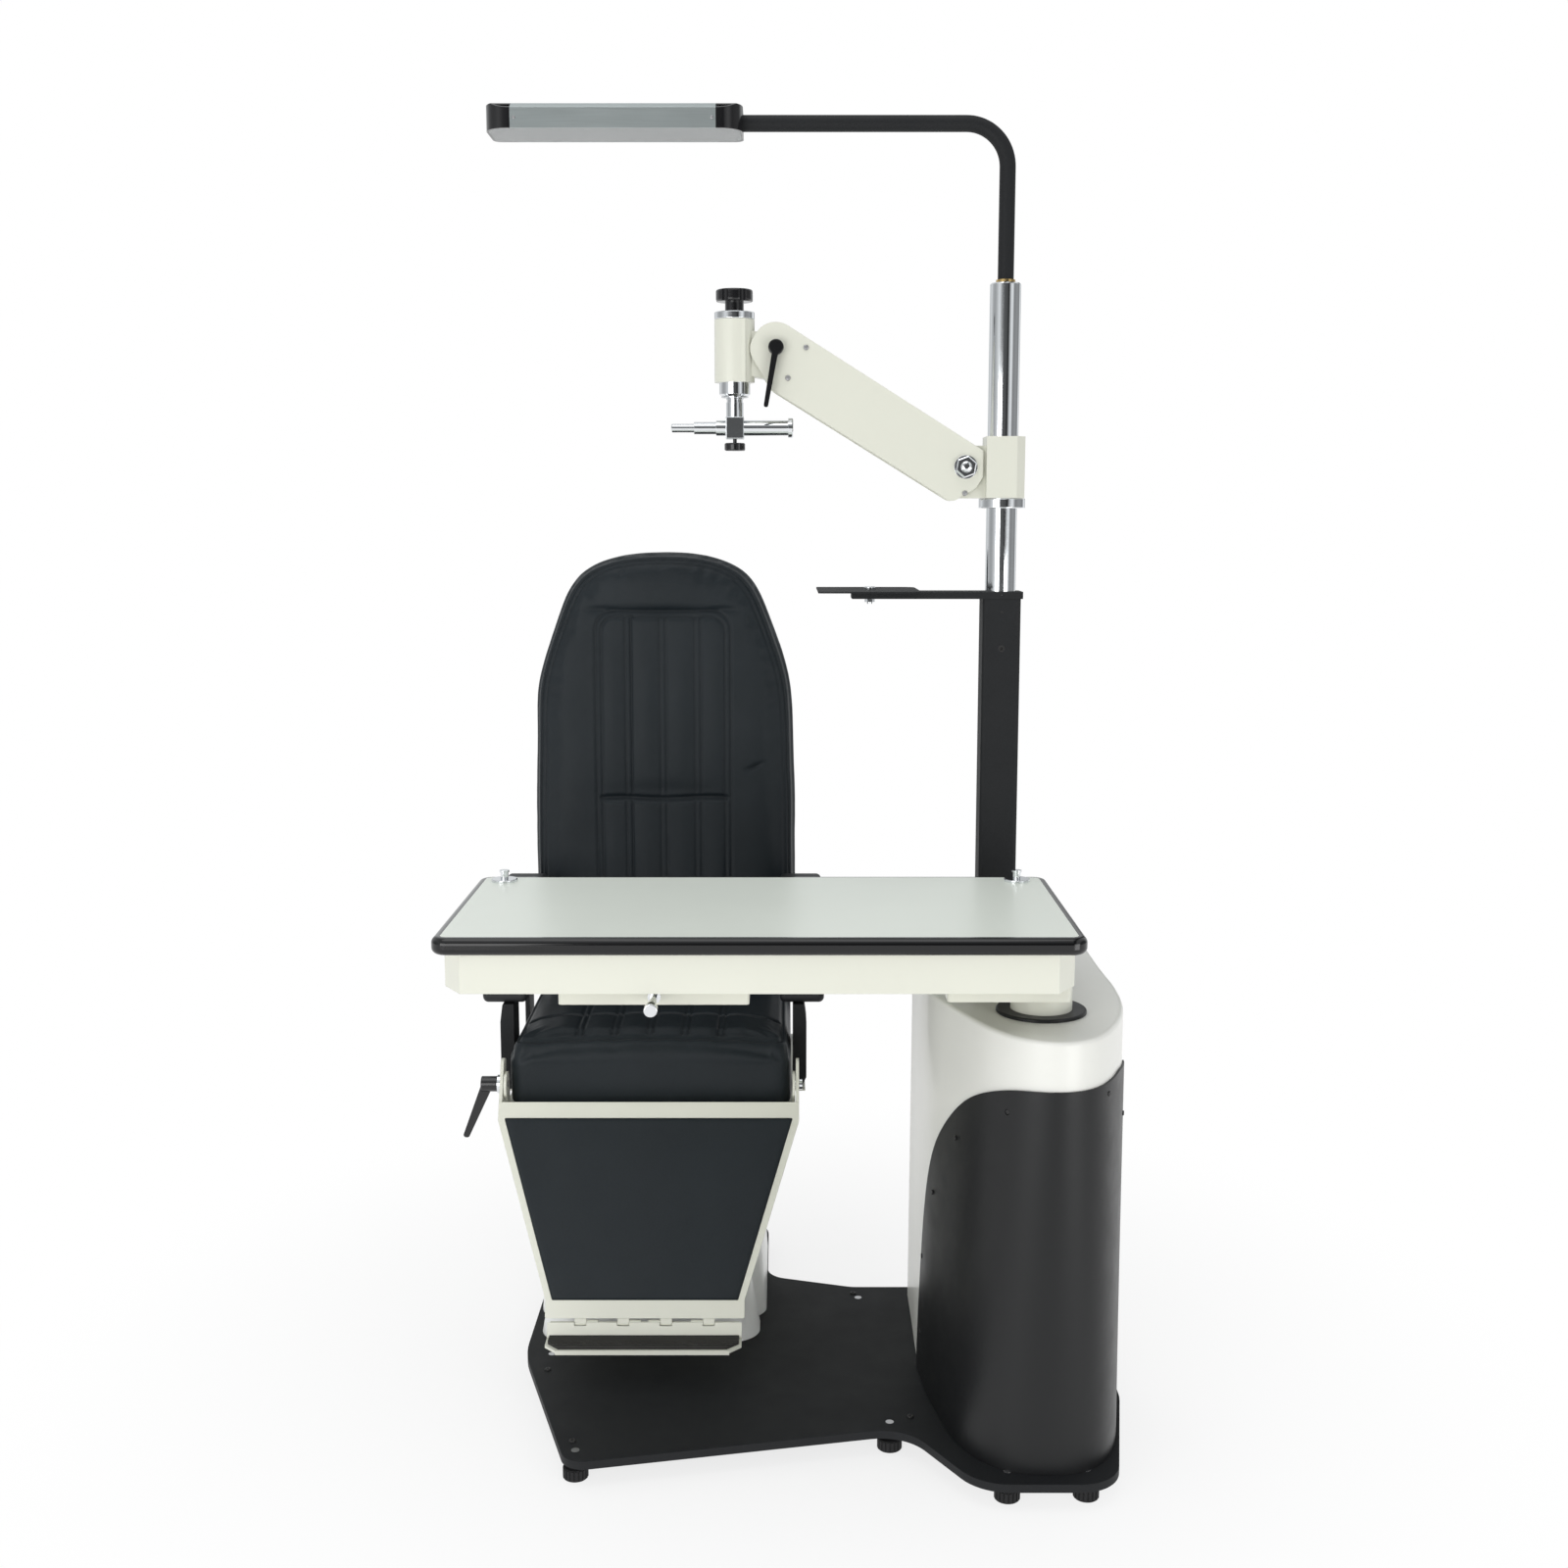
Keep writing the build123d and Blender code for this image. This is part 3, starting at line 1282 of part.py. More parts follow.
def seat_crown_tool(drop):
    """Everything above the crowned seat face, lowered by drop."""
    radius = (seat_half ** 2 + seat_crown ** 2) / (2 * seat_crown)
    top = seat_edge + seat_crown - drop
    drum = rod_y(0, seat_front * 2, seat_back * 2, top - radius, radius)
    return block(-seat_half * 2, seat_half * 2, seat_front * 1.5, seat_back * 1.5, seat_edge - seat_round,
                 seat_edge + seat_round * 2) - drum


def seat_cushion():
    body = prism(rect(-seat_half, seat_half, seat_front, seat_back, seat_corner), pan_top,
                 seat_edge + seat_crown * 2)
    body -= seat_crown_tool(0)
    top = [e for e in body.edges() if e.center().Z > seat_edge - 1]
    body = fillet(top, seat_round)
    body = chamfer(body.edges().group_by(Axis.Z)[0], bar_round * 2)
    grooves = []
    for i in range(-2, 3):
        x = i * channel_pitch
        grooves.append(block(x - channel_width / 2, x + channel_width / 2, seat_front - seat_round,
                             cross_seam_y, seat_edge - seat_round - channel_depth, seat_edge + seat_round))
    span = seat_half + channel_width
    grooves.append(block(-span, span, cross_seam_y - channel_width / 2, cross_seam_y + channel_width / 2,
                         seat_edge - seat_round, seat_edge + seat_round))
    tool = grooves[0].fuse(*grooves[1:])
    keep = prism(rect(-seat_half + channel_depth, seat_half - channel_depth, seat_front + channel_depth,
                      seat_back, seat_corner - channel_depth), pan_top, seat_edge + seat_round * 2)
    keep -= seat_crown_tool(channel_depth)
    inner = fillet([e for e in keep.edges() if e.center().Z > seat_edge - channel_depth - 1], seat_round)
    body -= tool - inner
    return body


# Armrests
def arm_supports():
    """Rear posts that carry the armrests and faceted brackets under their noses."""
    post = side_prism(
        [(arm_hinge_y - post_half, pan_top, 2), (arm_hinge_y + post_half, pan_top, 2),
         (arm_hinge_y + post_half, arm_hinge_z - post_shoulder, post_half),
         (arm_hinge_y + post_head_radius, arm_hinge_z - post_neck, post_half),
         (arm_hinge_y + post_head_radius, arm_hinge_z + post_head_radius, post_head_radius * round_share),
         (arm_hinge_y - post_head_radius, arm_hinge_z + post_head_radius, post_head_radius * round_share),
         (arm_hinge_y - post_head_radius, arm_hinge_z - post_neck, post_half),
         (arm_hinge_y - post_half, arm_hinge_z - post_shoulder, post_half)],
        post_inner, post_inner + post_thick)
    post -= rod_x(post_inner, post_inner + post_thick, arm_hinge_y, arm_hinge_z, arm_pin_radius)
    cut = bracket_chamfer
    high = nose_bottom - arm_rest_gap
    x0, x1 = bracket_inner, bracket_outer
    profile = [(x0, pan_top, 0), (x1 - cut, pan_top, 1), (x1, pan_top + cut * 2, 2), (x1, high - cut * 3, 2),
               (x1 - cut * 0.4, high, 2), (x0, high, 2)]
    bracket = front_prism(profile, bracket_front, bracket_back)
    return mirrored(post) + mirrored(bracket)


def armrest(side):
    """Moulded armrest: level top, nose turned down with finger hollows beneath."""
    high, low = arm_hinge_z + arm_lift_above, arm_hinge_z + arm_lift_above - arm_thick
    back = arm_hinge_y + post_half + skin_gap * 2
    y_front = arm_front - skin_gap
    profile = [
        (back, low, 14), (back, high, 22), (y_front, high, 60), (y_front, nose_bottom, 12),
        (y_front + nose_depth, nose_bottom, 12), (y_front + nose_depth, low, 40),
    ]
    body = side_prism(profile, arm_pad_inner, arm_pad_outer)
    body = fillet([e for e in body.edges() if abs(e.center().X - arm_pad_inner) < 0.1
                   or abs(e.center().X - arm_pad_outer) < 0.1], arm_edge)
    for i in range(3):
        y = y_front + nose_depth * (i + 1) / 4
        body -= rod_x(arm_pad_inner, post_inner - skin_gap * 2, y, nose_bottom - scallop_radius * 0.5, scallop_radius)
    x0, x1 = post_inner - slide_gap, post_inner + post_thick + slide_gap
    reach = post_head_radius + slide_gap
    body -= block(x0, x1, arm_hinge_y - reach - post_half, back + reach, low, arm_hinge_z + reach)
    body -= rod_x(arm_pad_inner + arm_edge, arm_pad_outer - arm_edge, arm_hinge_y, arm_hinge_z,
                  arm_pin_radius + run_gap)
    return body if side > 0 else mirror(body, about=Plane.YZ)


def pivot_pins():
    """Armrest pins, backrest pin and leg-rest bolts, all fixed in the seat frame."""
    arm_pin = rod_x(arm_pad_inner + arm_edge + skin_gap, arm_pad_outer - arm_edge - skin_gap, arm_hinge_y,
                    arm_hinge_z, arm_pin_radius)
    far = back_bar_x + back_bar_thick / 2 + slide_gap + lug_thick
    near = back_bar_x - back_bar_thick / 2 - slide_gap - lug_thick
    back_pin = rod_x(near - sheet, far + sheet, hinge_y, hinge_z, hinge_radius)
    heads = [rod_x(near - sheet * 2, near - slide_gap, hinge_y, hinge_z, hinge_radius + sheet),
             rod_x(far + slide_gap, far + sheet * 2, hinge_y, hinge_z, hinge_radius + sheet)]
    back_pin = back_pin.fuse(*heads)
    outer = leg_plate_inner + plate_steel
    bolt = rod_x(ear_inner, outer + slide_gap, pivot_y, pivot_z, bolt_radius)
    right = bolt + rod_x(outer + slide_gap, outer + slide_gap + bolt_head, pivot_y, pivot_z, bolt_head_radius)
    left = rod_x(-clamp_stud_end, -ear_inner, pivot_y, pivot_z, bolt_radius)
    left += rod_x(-outer - slide_gap - clamp_bush_length, -outer - slide_gap, pivot_y, pivot_z,
                  clamp_bush_radius)
    return mirrored(arm_pin) + mirrored(back_pin) + [right, left]


def clamp_lever():
    """Clamping handle on the left pivot of the leg rest."""
    x0, x1 = -clamp_start - clamp_hub_length, -clamp_start
    hub = rod_x(x0, x1, pivot_y, pivot_z, clamp_hub_radius)
    hub = fillet(hub.edges().filter_by(GeomType.CIRCLE), bar_round)
    angle = radians(handle_angle)
    tip_x, tip_z = x0 + handle_reach * cos(angle), pivot_z + handle_reach * sin(angle)
    base, tip = clamp_hub_radius * 0.8, clamp_hub_radius * 0.42
    handle = front_prism(
        [(x0, pivot_z, 0), (x0 + base * 2, pivot_z, 0), (tip_x + tip, tip_z, tip * 0.8),
         (tip_x - tip, tip_z, tip * 0.8)],
        pivot_y - tip, pivot_y + tip)
    lever = hub + handle
    return lever - rod_x(-clamp_stud_end - skin_gap, x1, pivot_y, pivot_z, bolt_radius + run_gap)


# Backrest
def back_outline(inset):
    """Half outline of the backrest mirrored into a closed wire, drawn in by inset."""
    right = [(x - inset * sin_share(i), z - inset * (1 - sin_share(i))) for i, (x, z) in
             enumerate(back_half_outline)]
    low = back_bottom + inset
    corner = back_low_corner
    side = right[0][0]
    right[0] = (side, low + corner)
    crown = (0, back_crown_top - inset)
    mid = corner * (1 - cos(radians(45)))
    curve = Spline(*right, crown, *[(-x, z) for x, z in reversed(right)], tangents=[(0, 1), (0, -1)])
    return Wire([
        curve,
        ThreePointArc((-side, low + corner), (-side + mid, low + mid), (-side + corner, low)),
        Line((-side + corner, low), (side - corner, low)),
        ThreePointArc((side - corner, low), (side - mid, low + mid), (side, low + corner)),
    ])


def sin_share(i):
    return top_shares[i]


def back_plate(inset, y0, y1):
    plane = Plane(origin=(0, y0, 0), x_dir=(1, 0, 0), z_dir=(0, -1, 0))
    return extrude(plane * make_face(back_outline(inset)), y1 - y0, dir=(0, 1, 0))


def back_drum(drop):
    """Cylinder whose front face gives the backrest its crown, set back by drop."""
    radius = 238.0 ** 2 / (2 * back_crown)
    return rod_z(0, back_front - back_crown + drop + radius, back_bottom - 50, back_crown_top + 50, radius)


def back_seams():
    """Sewn lines: rounded panel, three upright channels and the cross seam."""
    y0, y1 = back_front - back_crown * 2, back_front + back_thick / 2
    w = groove_width / 2
    half, low, high, r = back_panel_half_top, back_panel_low, back_panel_top, back_panel_corner
    foot = back_panel_half_low
    bottom = back_bottom - groove_width
    ring = front_prism([(-foot - w, bottom, 0), (foot + w, bottom, 0), (half + w, high + w, r + w),
                        (-half - w, high + w, r + w)], y0, y1)
    ring -= front_prism([(-foot + w, bottom, 0), (foot - w, bottom, 0), (half - w, high - w, r - w),
                         (-half + w, high - w, r - w)], y0, y1)
    tool = ring + block(-foot - w, foot + w, y0, y1, low - w, low + w)
    for i in (-1, 0, 1):
        x = i * half / 2
        tool += block(x - w, x + w, y0, y1, bottom, high)
    return tool


def back_cushion():
    body = back_plate(0, back_front - back_crown, back_front + back_thick) & back_drum(0)
    edges = [e for e in body.edges() if e.center().Y < back_front + back_thick / 2]
    body = fillet(edges, back_round)
    body = chamfer([e for e in body.edges() if abs(e.center().Y - back_front - back_thick) < 0.1],
                   bar_round * 3)
    return body - (back_seams() - back_drum(groove_depth))


def back_frame():
    y0 = back_front + back_thick
    plate = back_plate(back_shell_inset, y0, y0 + back_shell_thick)
    low = hinge_z - hinge_lug_radius
    top = back_bottom + back_frame_rise
    bar = [(hinge_y - hinge_lug_radius, low, 18), (hinge_y + hinge_lug_radius, low, 18),
           (y0 + back_shell_thick + hinge_lug_radius, back_bottom, 30),
           (y0 + back_shell_thick + hinge_lug_radius, top, 10), (y0 + back_shell_thick / 2, top, 0),
           (y0 + back_shell_thick / 2, back_bottom + bar_round, 0), (hinge_y - hinge_lug_radius, hinge_z + 24, 18)]
    x0, x1 = back_bar_x - back_bar_thick / 2, back_bar_x + back_bar_thick / 2
    arm = side_prism(bar, x0, x1) - rod_x(x0, x1, hinge_y, hinge_z, hinge_radius + run_gap)
    for piece in mirrored(arm):
        plate += piece
    return plate


# Leg rest, built hanging straight down from its pivot and then swung forward
def swung(shape):
    return Pos(0, pivot_y, pivot_z) * Rot(X=-leg_slope) * shape


def leg_outline(inset):
    top, low = -leg_top_bar - inset, -leg_length - leg_low_bar + inset
    knee = -leg_top_bar - leg_bar_height - 4
    t, b = leg_top_half - inset, leg_low_half - inset
    return [(-b, low, 3), (b, low, 3), (b, -leg_length, 8), (t, knee, 8), (t, top, 3), (-t, top, 3),
            (-t, knee, 8), (-b, -leg_length, 8)]


def window(inset):
    top, low = -leg_top_bar - leg_bar_height + inset, -leg_length - inset
    t, b = leg_top_half - leg_side + inset, leg_low_half - leg_side + inset
    return [(-b, low, 2), (b, low, 2), (t, top, 2), (-t, top, 2)]


def leg_frame():
    front, back = -leg_front, -leg_front + leg_depth
    frame = front_prism(leg_outline(0), front, back)
    frame -= front_prism(leg_outline(plate_steel), front + sheet, back)
    frame -= front_prism(window(0), front, front + sheet)
    ear = side_prism(
        [(-leg_ear_half, -leg_top_bar - leg_bar_height, 0), (leg_ear_half, -leg_top_bar - leg_bar_height, 10),
         (leg_ear_half, leg_ear_up, leg_ear_half * 0.9), (-leg_ear_half, leg_ear_up, leg_ear_half * 0.9)],
        leg_plate_inner, leg_plate_inner + plate_steel)
    ear -= rod_x(leg_plate_inner, leg_plate_inner + plate_steel, 0, 0, bolt_radius + run_gap)
    for piece in mirrored(ear):
        frame += piece
    for x in foot_knuckles():
        half = knuckle_length / 2
        knuckle = rod_x(x - half, x + half, foot_hinge_y, foot_hinge_z, knuckle_radius)
        knuckle += block(x - half, x + half, foot_hinge_y - knuckle_radius, foot_hinge_y + knuckle_radius,
                         foot_hinge_z, -leg_length - leg_low_bar + plate_steel)
        frame += knuckle
    frame -= rod_x(-foot_half, foot_half, foot_hinge_y, foot_hinge_z, foot_pin_radius + run_gap)
    return frame


def foot_knuckles():
    return [share * foot_half for share in knuckle_shares]


def leg_pad():
    """Padded panel set into the window from behind."""
    front = -leg_front
    face = front_prism(window(-slide_gap), front - leg_pad_proud, front + sheet)
    face = fillet(face.edges().filter_by(Axis.Y, reverse=True).group_by(Axis.Y)[0], leg_pad_proud * 0.8)
    return face + front_prism(window(leg_lap), front + sheet, front + sheet + leg_board)


def footplate():
    front = -leg_front
    low = foot_hinge_z - foot_up_height
    upright = block(-foot_half, foot_half, front, front + foot_sheet, low, foot_hinge_z + slide_gap)
    hinge = rod_x(-foot_half + foot_sheet, foot_half - foot_sheet, foot_hinge_y, foot_hinge_z, foot_pin_radius)
    for x in foot_knuckles():
        half = knuckle_length / 2 + slide_gap
        upright -= block(x - half, x + half, front, front + foot_sheet, foot_hinge_z - knuckle_radius - slide_gap,
                         foot_hinge_z + knuckle_radius)
        near = x + half if x < 0 else x - half - knuckle_length
        wing = rod_x(near, near + knuckle_length, foot_hinge_y, foot_hinge_z, knuckle_radius)
        wing += block(near, near + knuckle_length, front, foot_hinge_y, foot_hinge_z - knuckle_radius,
                      foot_hinge_z)
        hinge += wing
    body = upright + hinge
    return body + tread_place(prism(tread_outline(0), -foot_sheet, 0)) + tread_place(
        block(-foot_half + tread_chamfer, foot_half - tread_chamfer, -tread_depth, -tread_depth + thin,
              -foot_sheet - sheet, 0))


def tread_place(shape):
    """Footplate surface is level when the leg rest hangs at its resting slope."""
    return Pos(0, -leg_front + foot_sheet / 2, foot_hinge_z - foot_up_height) * Rot(X=leg_slope) * shape


def tread_outline(inset):
    half, depth, cut = foot_half - inset, tread_depth - inset, tread_chamfer
    return [(-half + cut, -depth, 2), (half - cut, -depth, 2), (half, -depth + cut, 2), (half, thin - inset, 1),
            (-half, thin - inset, 1), (-half, -depth + cut, 2)]


def foot_tread():
    mat = prism(tread_outline(foot_sheet), 0, tread_thick)
    for i in range(tread_ribs):
        y = -tread_depth + foot_sheet * 2 + i * (tread_depth - foot_sheet * 4) / (tread_ribs - 1)
        mat -= block(-foot_half, foot_half, y, y + tread_rib * 2, tread_thick - tread_rib, tread_thick)
    return tread_place(mat)


def surface_point(index, share, z):
    """Point of the cabinet skin and its outward direction at a plan station and height."""
    part = (z - plate_top) / (cabinet_top - plate_top)
    plan = [
        (a + (c - a) * part, b + (d - b) * part)
        for (a, b), (c, d) in zip(cabinet_foot_plan, cabinet_top_plan)
    ]
    (x0, y0), (x1, y1) = plan[index], plan[index + 1]
    x, y = x0 + (x1 - x0) * share, y0 + (y1 - y0) * share
    size = hypot(x1 - x0, y1 - y0)
    return x, y, (y1 - y0) / size, -(x1 - x0) / size


def skin_screws():
    screws = []
    for index, share, z in panel_screws:
        x, y, nx, ny = surface_point(index, share, z)
        out = panel_air + panel_thick + skin_gap
        plane = Plane(origin=(x + nx * out, y + ny * out, z), z_dir=(nx, ny, 0))
        head = Pos(0, 0, cover_screw_height / 2) * Cylinder(cover_screw_radius, cover_screw_height)
        head = fillet(head.edges().sort_by(Axis.Z)[-1], cover_screw_height * 0.5)
        shank = Pos(0, 0, -cover_screw_length / 2) * Cylinder(cover_screw_shank, cover_screw_length)
        hole = Pos(0, 0, -cover_screw_length / 2) * Cylinder(cover_screw_shank + run_gap, cover_screw_length)
        seat = Pos(0, 0, cover_screw_height) * Cylinder(cover_screw_radius + slide_gap, cover_screw_height * 2)
        screws.append((plane * (head + shank), plane * hole, plane * (seat + hole)))
    return screws


def plate_screws():
    return [
        button(x, y, plate_top, screw_head, screw_height, screw_shank, screw_length)
        for x, y in screw_places
    ]


pads, studs = feet()
panel_fixings = skin_screws()
panel = front_cover()
shell = cabinet() - inlet_hole()
for fixing, hole, seat in panel_fixings:
    panel -= seat
    shell -= hole
lever, lever_bolt = arm_lever()
link_z = arm_pivot_z - link_drop
head_link_z = head_pivot_z - link_drop

nodes = {
    "base_plate": [floor_plate()],
    "levelling_feet": pads,
    "foot_studs": studs,
    "cabinet_shell": [shell],
    "front_panel": [panel],
    "cover_screws": [fixing for fixing, hole, seat in panel_fixings] + plate_screws() + post_screws(),
    "table_lift_tube": [lift_tube()],
    "column_ring": [column_ring()],
    "supply_box": [supply_box()],
    "power_inlet": [inlet()],
    "column_post": [column_post()],
    "chrome_column": [chrome_tube()],
    "lamp_bush": [lamp_bush()],
    "stop_ring": [stop_ring()],
    "pedestal_cover": [pedestal_cover()],
    "toe_cover": [toe_cover()],
    "chair_guide": [chair_guide()],
    "tray_bar": [tray_bar()],
    "tray_bolt": [tray_bolt()],
    "tray_plate": [tray()],
    "table_column": [table_column()],
    "support_plate": [support_plate()],
    "table_screws": table_screws(),
    "apron": [apron()],
    "table_board": [table_board()],
    "table_edging": [table_edging()],
    "instrument_studs": instrument_studs(),
    "under_box": [under_box()],
    "lock_rod": [lock_rod()],
    "clamp_block": [clamp_block()],
    "clamp_pins": [arm_bolt(), link_pin(arm_pivot_x, link_z, lug_half)],
    "arm_casing": [arm_casing()],
    "arm_link": [arm_link()],
    "head_block": [head_block()],
    "head_pins": [lever_bolt, link_pin(head_pivot_x, head_link_z, head_lug_half)],
    "head_rings": [head_sleeve(), head_collar()],
    "arm_lever": [lever],
    "top_knob": [top_knob()],
    "spindle": [spindle()],
    "cross_bar": [cross_bar()],
    "star_knob": [star_knob()],
    "lamp_tube": [lamp_tube()],
    "lamp_body": [lamp_body()],
    "lamp_caps": [lamp_cap_piece(-1), lamp_cap_piece(1)],
    "lamp_lens": [lens()],
    "led_strip": [led_strip()],
    "lift_sleeve": [lift_sleeve()],
    "seat_frame": [seat_frame()],
    "seat_cushion": [seat_cushion()],
    "arm_supports": arm_supports(),
    "pivot_pins": pivot_pins(),
    "armrest_right": [armrest(1)],
    "armrest_left": [armrest(-1)],
    "back_cushion": [back_cushion()],
    "back_frame": [back_frame()],
    "leg_frame": [swung(leg_frame())],
    "leg_pad": [swung(leg_pad())],
    "clamp_lever": [clamp_lever()],
    "footplate": [swung(footplate())],
    "foot_tread": [swung(foot_tread())],
}

for name, shapes in nodes.items():
    save_all(name, shapes)
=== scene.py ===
import json
from math import cos, pi, radians, sin

import bmesh
import bpy
import numpy as np
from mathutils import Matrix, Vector
from mathutils.bvhtree import BVHTree
from mathutils.geometry import convex_hull_2d
from mathutils.noise import noise as smooth_noise


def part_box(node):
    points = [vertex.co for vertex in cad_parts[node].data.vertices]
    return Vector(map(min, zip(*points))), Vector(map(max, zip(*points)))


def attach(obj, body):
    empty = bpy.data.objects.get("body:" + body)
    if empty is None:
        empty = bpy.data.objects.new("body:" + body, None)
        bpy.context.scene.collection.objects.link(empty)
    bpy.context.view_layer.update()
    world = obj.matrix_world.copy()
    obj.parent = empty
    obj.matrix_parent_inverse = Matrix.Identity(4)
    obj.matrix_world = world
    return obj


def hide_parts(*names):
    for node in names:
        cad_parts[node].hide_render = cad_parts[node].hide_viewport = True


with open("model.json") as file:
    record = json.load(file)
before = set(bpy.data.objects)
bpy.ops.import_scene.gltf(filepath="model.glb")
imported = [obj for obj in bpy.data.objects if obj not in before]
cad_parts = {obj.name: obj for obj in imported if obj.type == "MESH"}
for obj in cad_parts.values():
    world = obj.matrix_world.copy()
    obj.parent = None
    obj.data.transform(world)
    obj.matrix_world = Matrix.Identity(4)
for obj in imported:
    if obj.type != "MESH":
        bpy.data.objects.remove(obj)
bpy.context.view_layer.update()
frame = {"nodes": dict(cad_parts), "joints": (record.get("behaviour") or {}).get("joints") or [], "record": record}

MM = 0.001
nodes = frame["nodes"]
scene = bpy.context.scene


# Shader graphs: noise and cell scales are repeats per metre
BEVEL_SAMPLES = 4


class Shader:
    """One Principled material with short calls for the nodes that shape its colour, gloss and relief."""

    def __init__(self, name, **sockets):
        self.material = bpy.data.materials.new(name)
        self.material.use_nodes = True
        self.tree = self.material.node_tree
        self.main = self.tree.nodes["Principled BSDF"]
        for socket, value in sockets.items():
            self.main.inputs[socket.replace("_", " ")].default_value = value
        self.place = self.node("ShaderNodeTexCoord").outputs["Object"]

    def node(self, kind, **settings):
        made = self.tree.nodes.new(kind)
        for key, value in settings.items():
            setattr(made, key, value)
        return made

    def feed(self, made, **inputs):
        """Link or set a node's inputs, given by name or as i and a number."""
        for key, value in inputs.items():
            socket = made.inputs[int(key[1:])] if key[0] == "i" and key[1:].isdigit() else made.inputs[key]
            if isinstance(value, bpy.types.NodeSocket):
                self.tree.links.new(value, socket)
            else:
                socket.default_value = value
        return made

    def stretched(self, x, y, z):
        """Coordinates scaled per axis, for brushed or drawn surfaces."""
        return self.feed(self.node("ShaderNodeMapping"), Vector=self.place, Scale=(x, y, z)).outputs[0]

    def grain(self, scale, detail, roughness=0.55, place=None, distortion=0.0):
        made = self.node("ShaderNodeTexNoise")
        self.feed(made, Vector=place or self.place, Scale=scale, Detail=detail, Roughness=roughness,
                  Distortion=distortion)
        return made.outputs["Fac"]

    def cells(self, scale, feature="DISTANCE_TO_EDGE", place=None):
        made = self.node("ShaderNodeTexVoronoi", feature=feature)
        return self.feed(made, Vector=place or self.place, Scale=scale).outputs["Distance"]

    def spread(self, value, low, high, start=0.0, end=1.0):
        """Map start to low and end to high."""
        made = self.node("ShaderNodeMapRange")
        self.feed(made, i0=value, i1=start, i2=end, i3=low, i4=high)
        return made.outputs[0]

    def maths(self, operation, a, b=0.0):
        made = self.node("ShaderNodeMath", operation=operation)
        return self.feed(made, i0=a, i1=b).outputs[0]

    def blend(self, share, first, second):
        made = self.node("ShaderNodeMix", data_type="RGBA")
        return self.feed(made, i0=share, i6=first, i7=second).outputs[2]

    def soft_edges(self, radius):
        return self.feed(self.node("ShaderNodeBevel", samples=BEVEL_SAMPLES), Radius=radius).outputs[0]

    def edge_highlight_mask(self, radius, start=0.02, end=0.22):
        """1 along sharp edges, 0 on flat faces: the mask of the painted edge highlight."""
        hard = self.node("ShaderNodeNewGeometry").outputs["True Normal"]
        dot = self.node("ShaderNodeVectorMath", operation="DOT_PRODUCT")
        self.feed(dot, i0=self.soft_edges(radius), i1=hard)
        return self.spread(self.maths("SUBTRACT", 1.0, dot.outputs["Value"]), 0.0, 1.0, start, end)

    def lightened(self, tone, highlight_tone, radius, amount):
        """The tone with its sharp edges gone some way to a lighter tone: a painted edge highlight."""
        return self.blend(self.maths("MULTIPLY", self.edge_highlight_mask(radius), amount), tone, highlight_tone)

    def gloss(self, rough, scale, low_share, high_share, detail=4.0):
        """Roughness that wanders between two shares of its plain value."""
        return self.spread(self.grain(scale, detail), rough * low_share, rough * high_share)

    def relief(self, height, depth, strength=1.0, normal=None):
        made = self.feed(self.node("ShaderNodeBump"), Height=height, Distance=depth, Strength=strength)
        if normal is not None:
            self.feed(made, Normal=normal)
        return made.outputs[0]

    def finish(self, colour=None, rough=None, normal=None):
        for key, value in (("Base Color", colour), ("Roughness", rough), ("Normal", normal)):
            if value is not None:
                self.tree.links.new(value, self.main.inputs[key])
        return self.material


def shade(colour, factor):
    return (*[min(1.0, channel * factor) for channel in colour], 1.0)


def enamel(name, colour, rough=0.3, peel=0.02 * MM, radius=0.9 * MM):
    """Smooth sprayed paint: faint orange peel, slow tone changes, dulled edges with a slight painted highlight
    along them.
    """
    cloud, specks, dull, orange_peel = 5.0, 60.0, 34.0, 650.0
    s = Shader(name, Metallic=0.0, Coat_Weight=0.25, Coat_Roughness=0.12)
    tone = s.blend(s.grain(cloud, 4.0), shade(colour, 0.965), shade(colour, 1.015))
    dust = s.spread(s.grain(specks, 5.0), 0.0, 0.10, start=0.56, end=0.80)
    tone = s.blend(dust, tone, shade(colour, 0.86))
    # painted highlight: sharp edges a little lighter
    tone = s.lightened(tone, shade(colour, 1.1), radius * 0.8, 0.35)
    relief = s.relief(s.grain(orange_peel, 2.0), peel, normal=s.soft_edges(radius))
    return s.finish(tone, s.gloss(rough, dull, 0.85, 1.25), relief)


def powder_coat(name, colour, rough=0.62, grit=0.09 * MM, radius=0.8 * MM):
    """Textured black coat: fine grit, scuffs that catch light, greyer corners from a painted edge highlight."""
    specks, scuffs, dull, lumps, pits = 1500.0, 7.0, 18.0, 900.0, 700.0
    s = Shader(name, Specular_IOR_Level=0.28)
    speck = s.spread(s.grain(specks, 2.0), 0.0, 1.0, start=0.45, end=0.72)
    tone = s.blend(speck, shade(colour, 0.8), shade(colour, 1.45))
    scuff = s.spread(s.grain(scuffs, 6.0, 0.7), 0.0, 0.35, start=0.55, end=0.85)
    tone = s.blend(scuff, tone, shade(colour, 1.7))
    # painted highlight: sharp edges lightened towards grey
    tone = s.lightened(tone, shade(colour, 2.6), radius, 0.5)
    height = s.maths("ADD", s.grain(lumps, 3.0), s.maths("MULTIPLY", s.cells(pits, "F1"), 0.5))
    relief = s.relief(height, grit, 0.8, s.soft_edges(radius))
    return s.finish(tone, s.gloss(rough, dull, 0.88, 1.15, 5.0), relief)


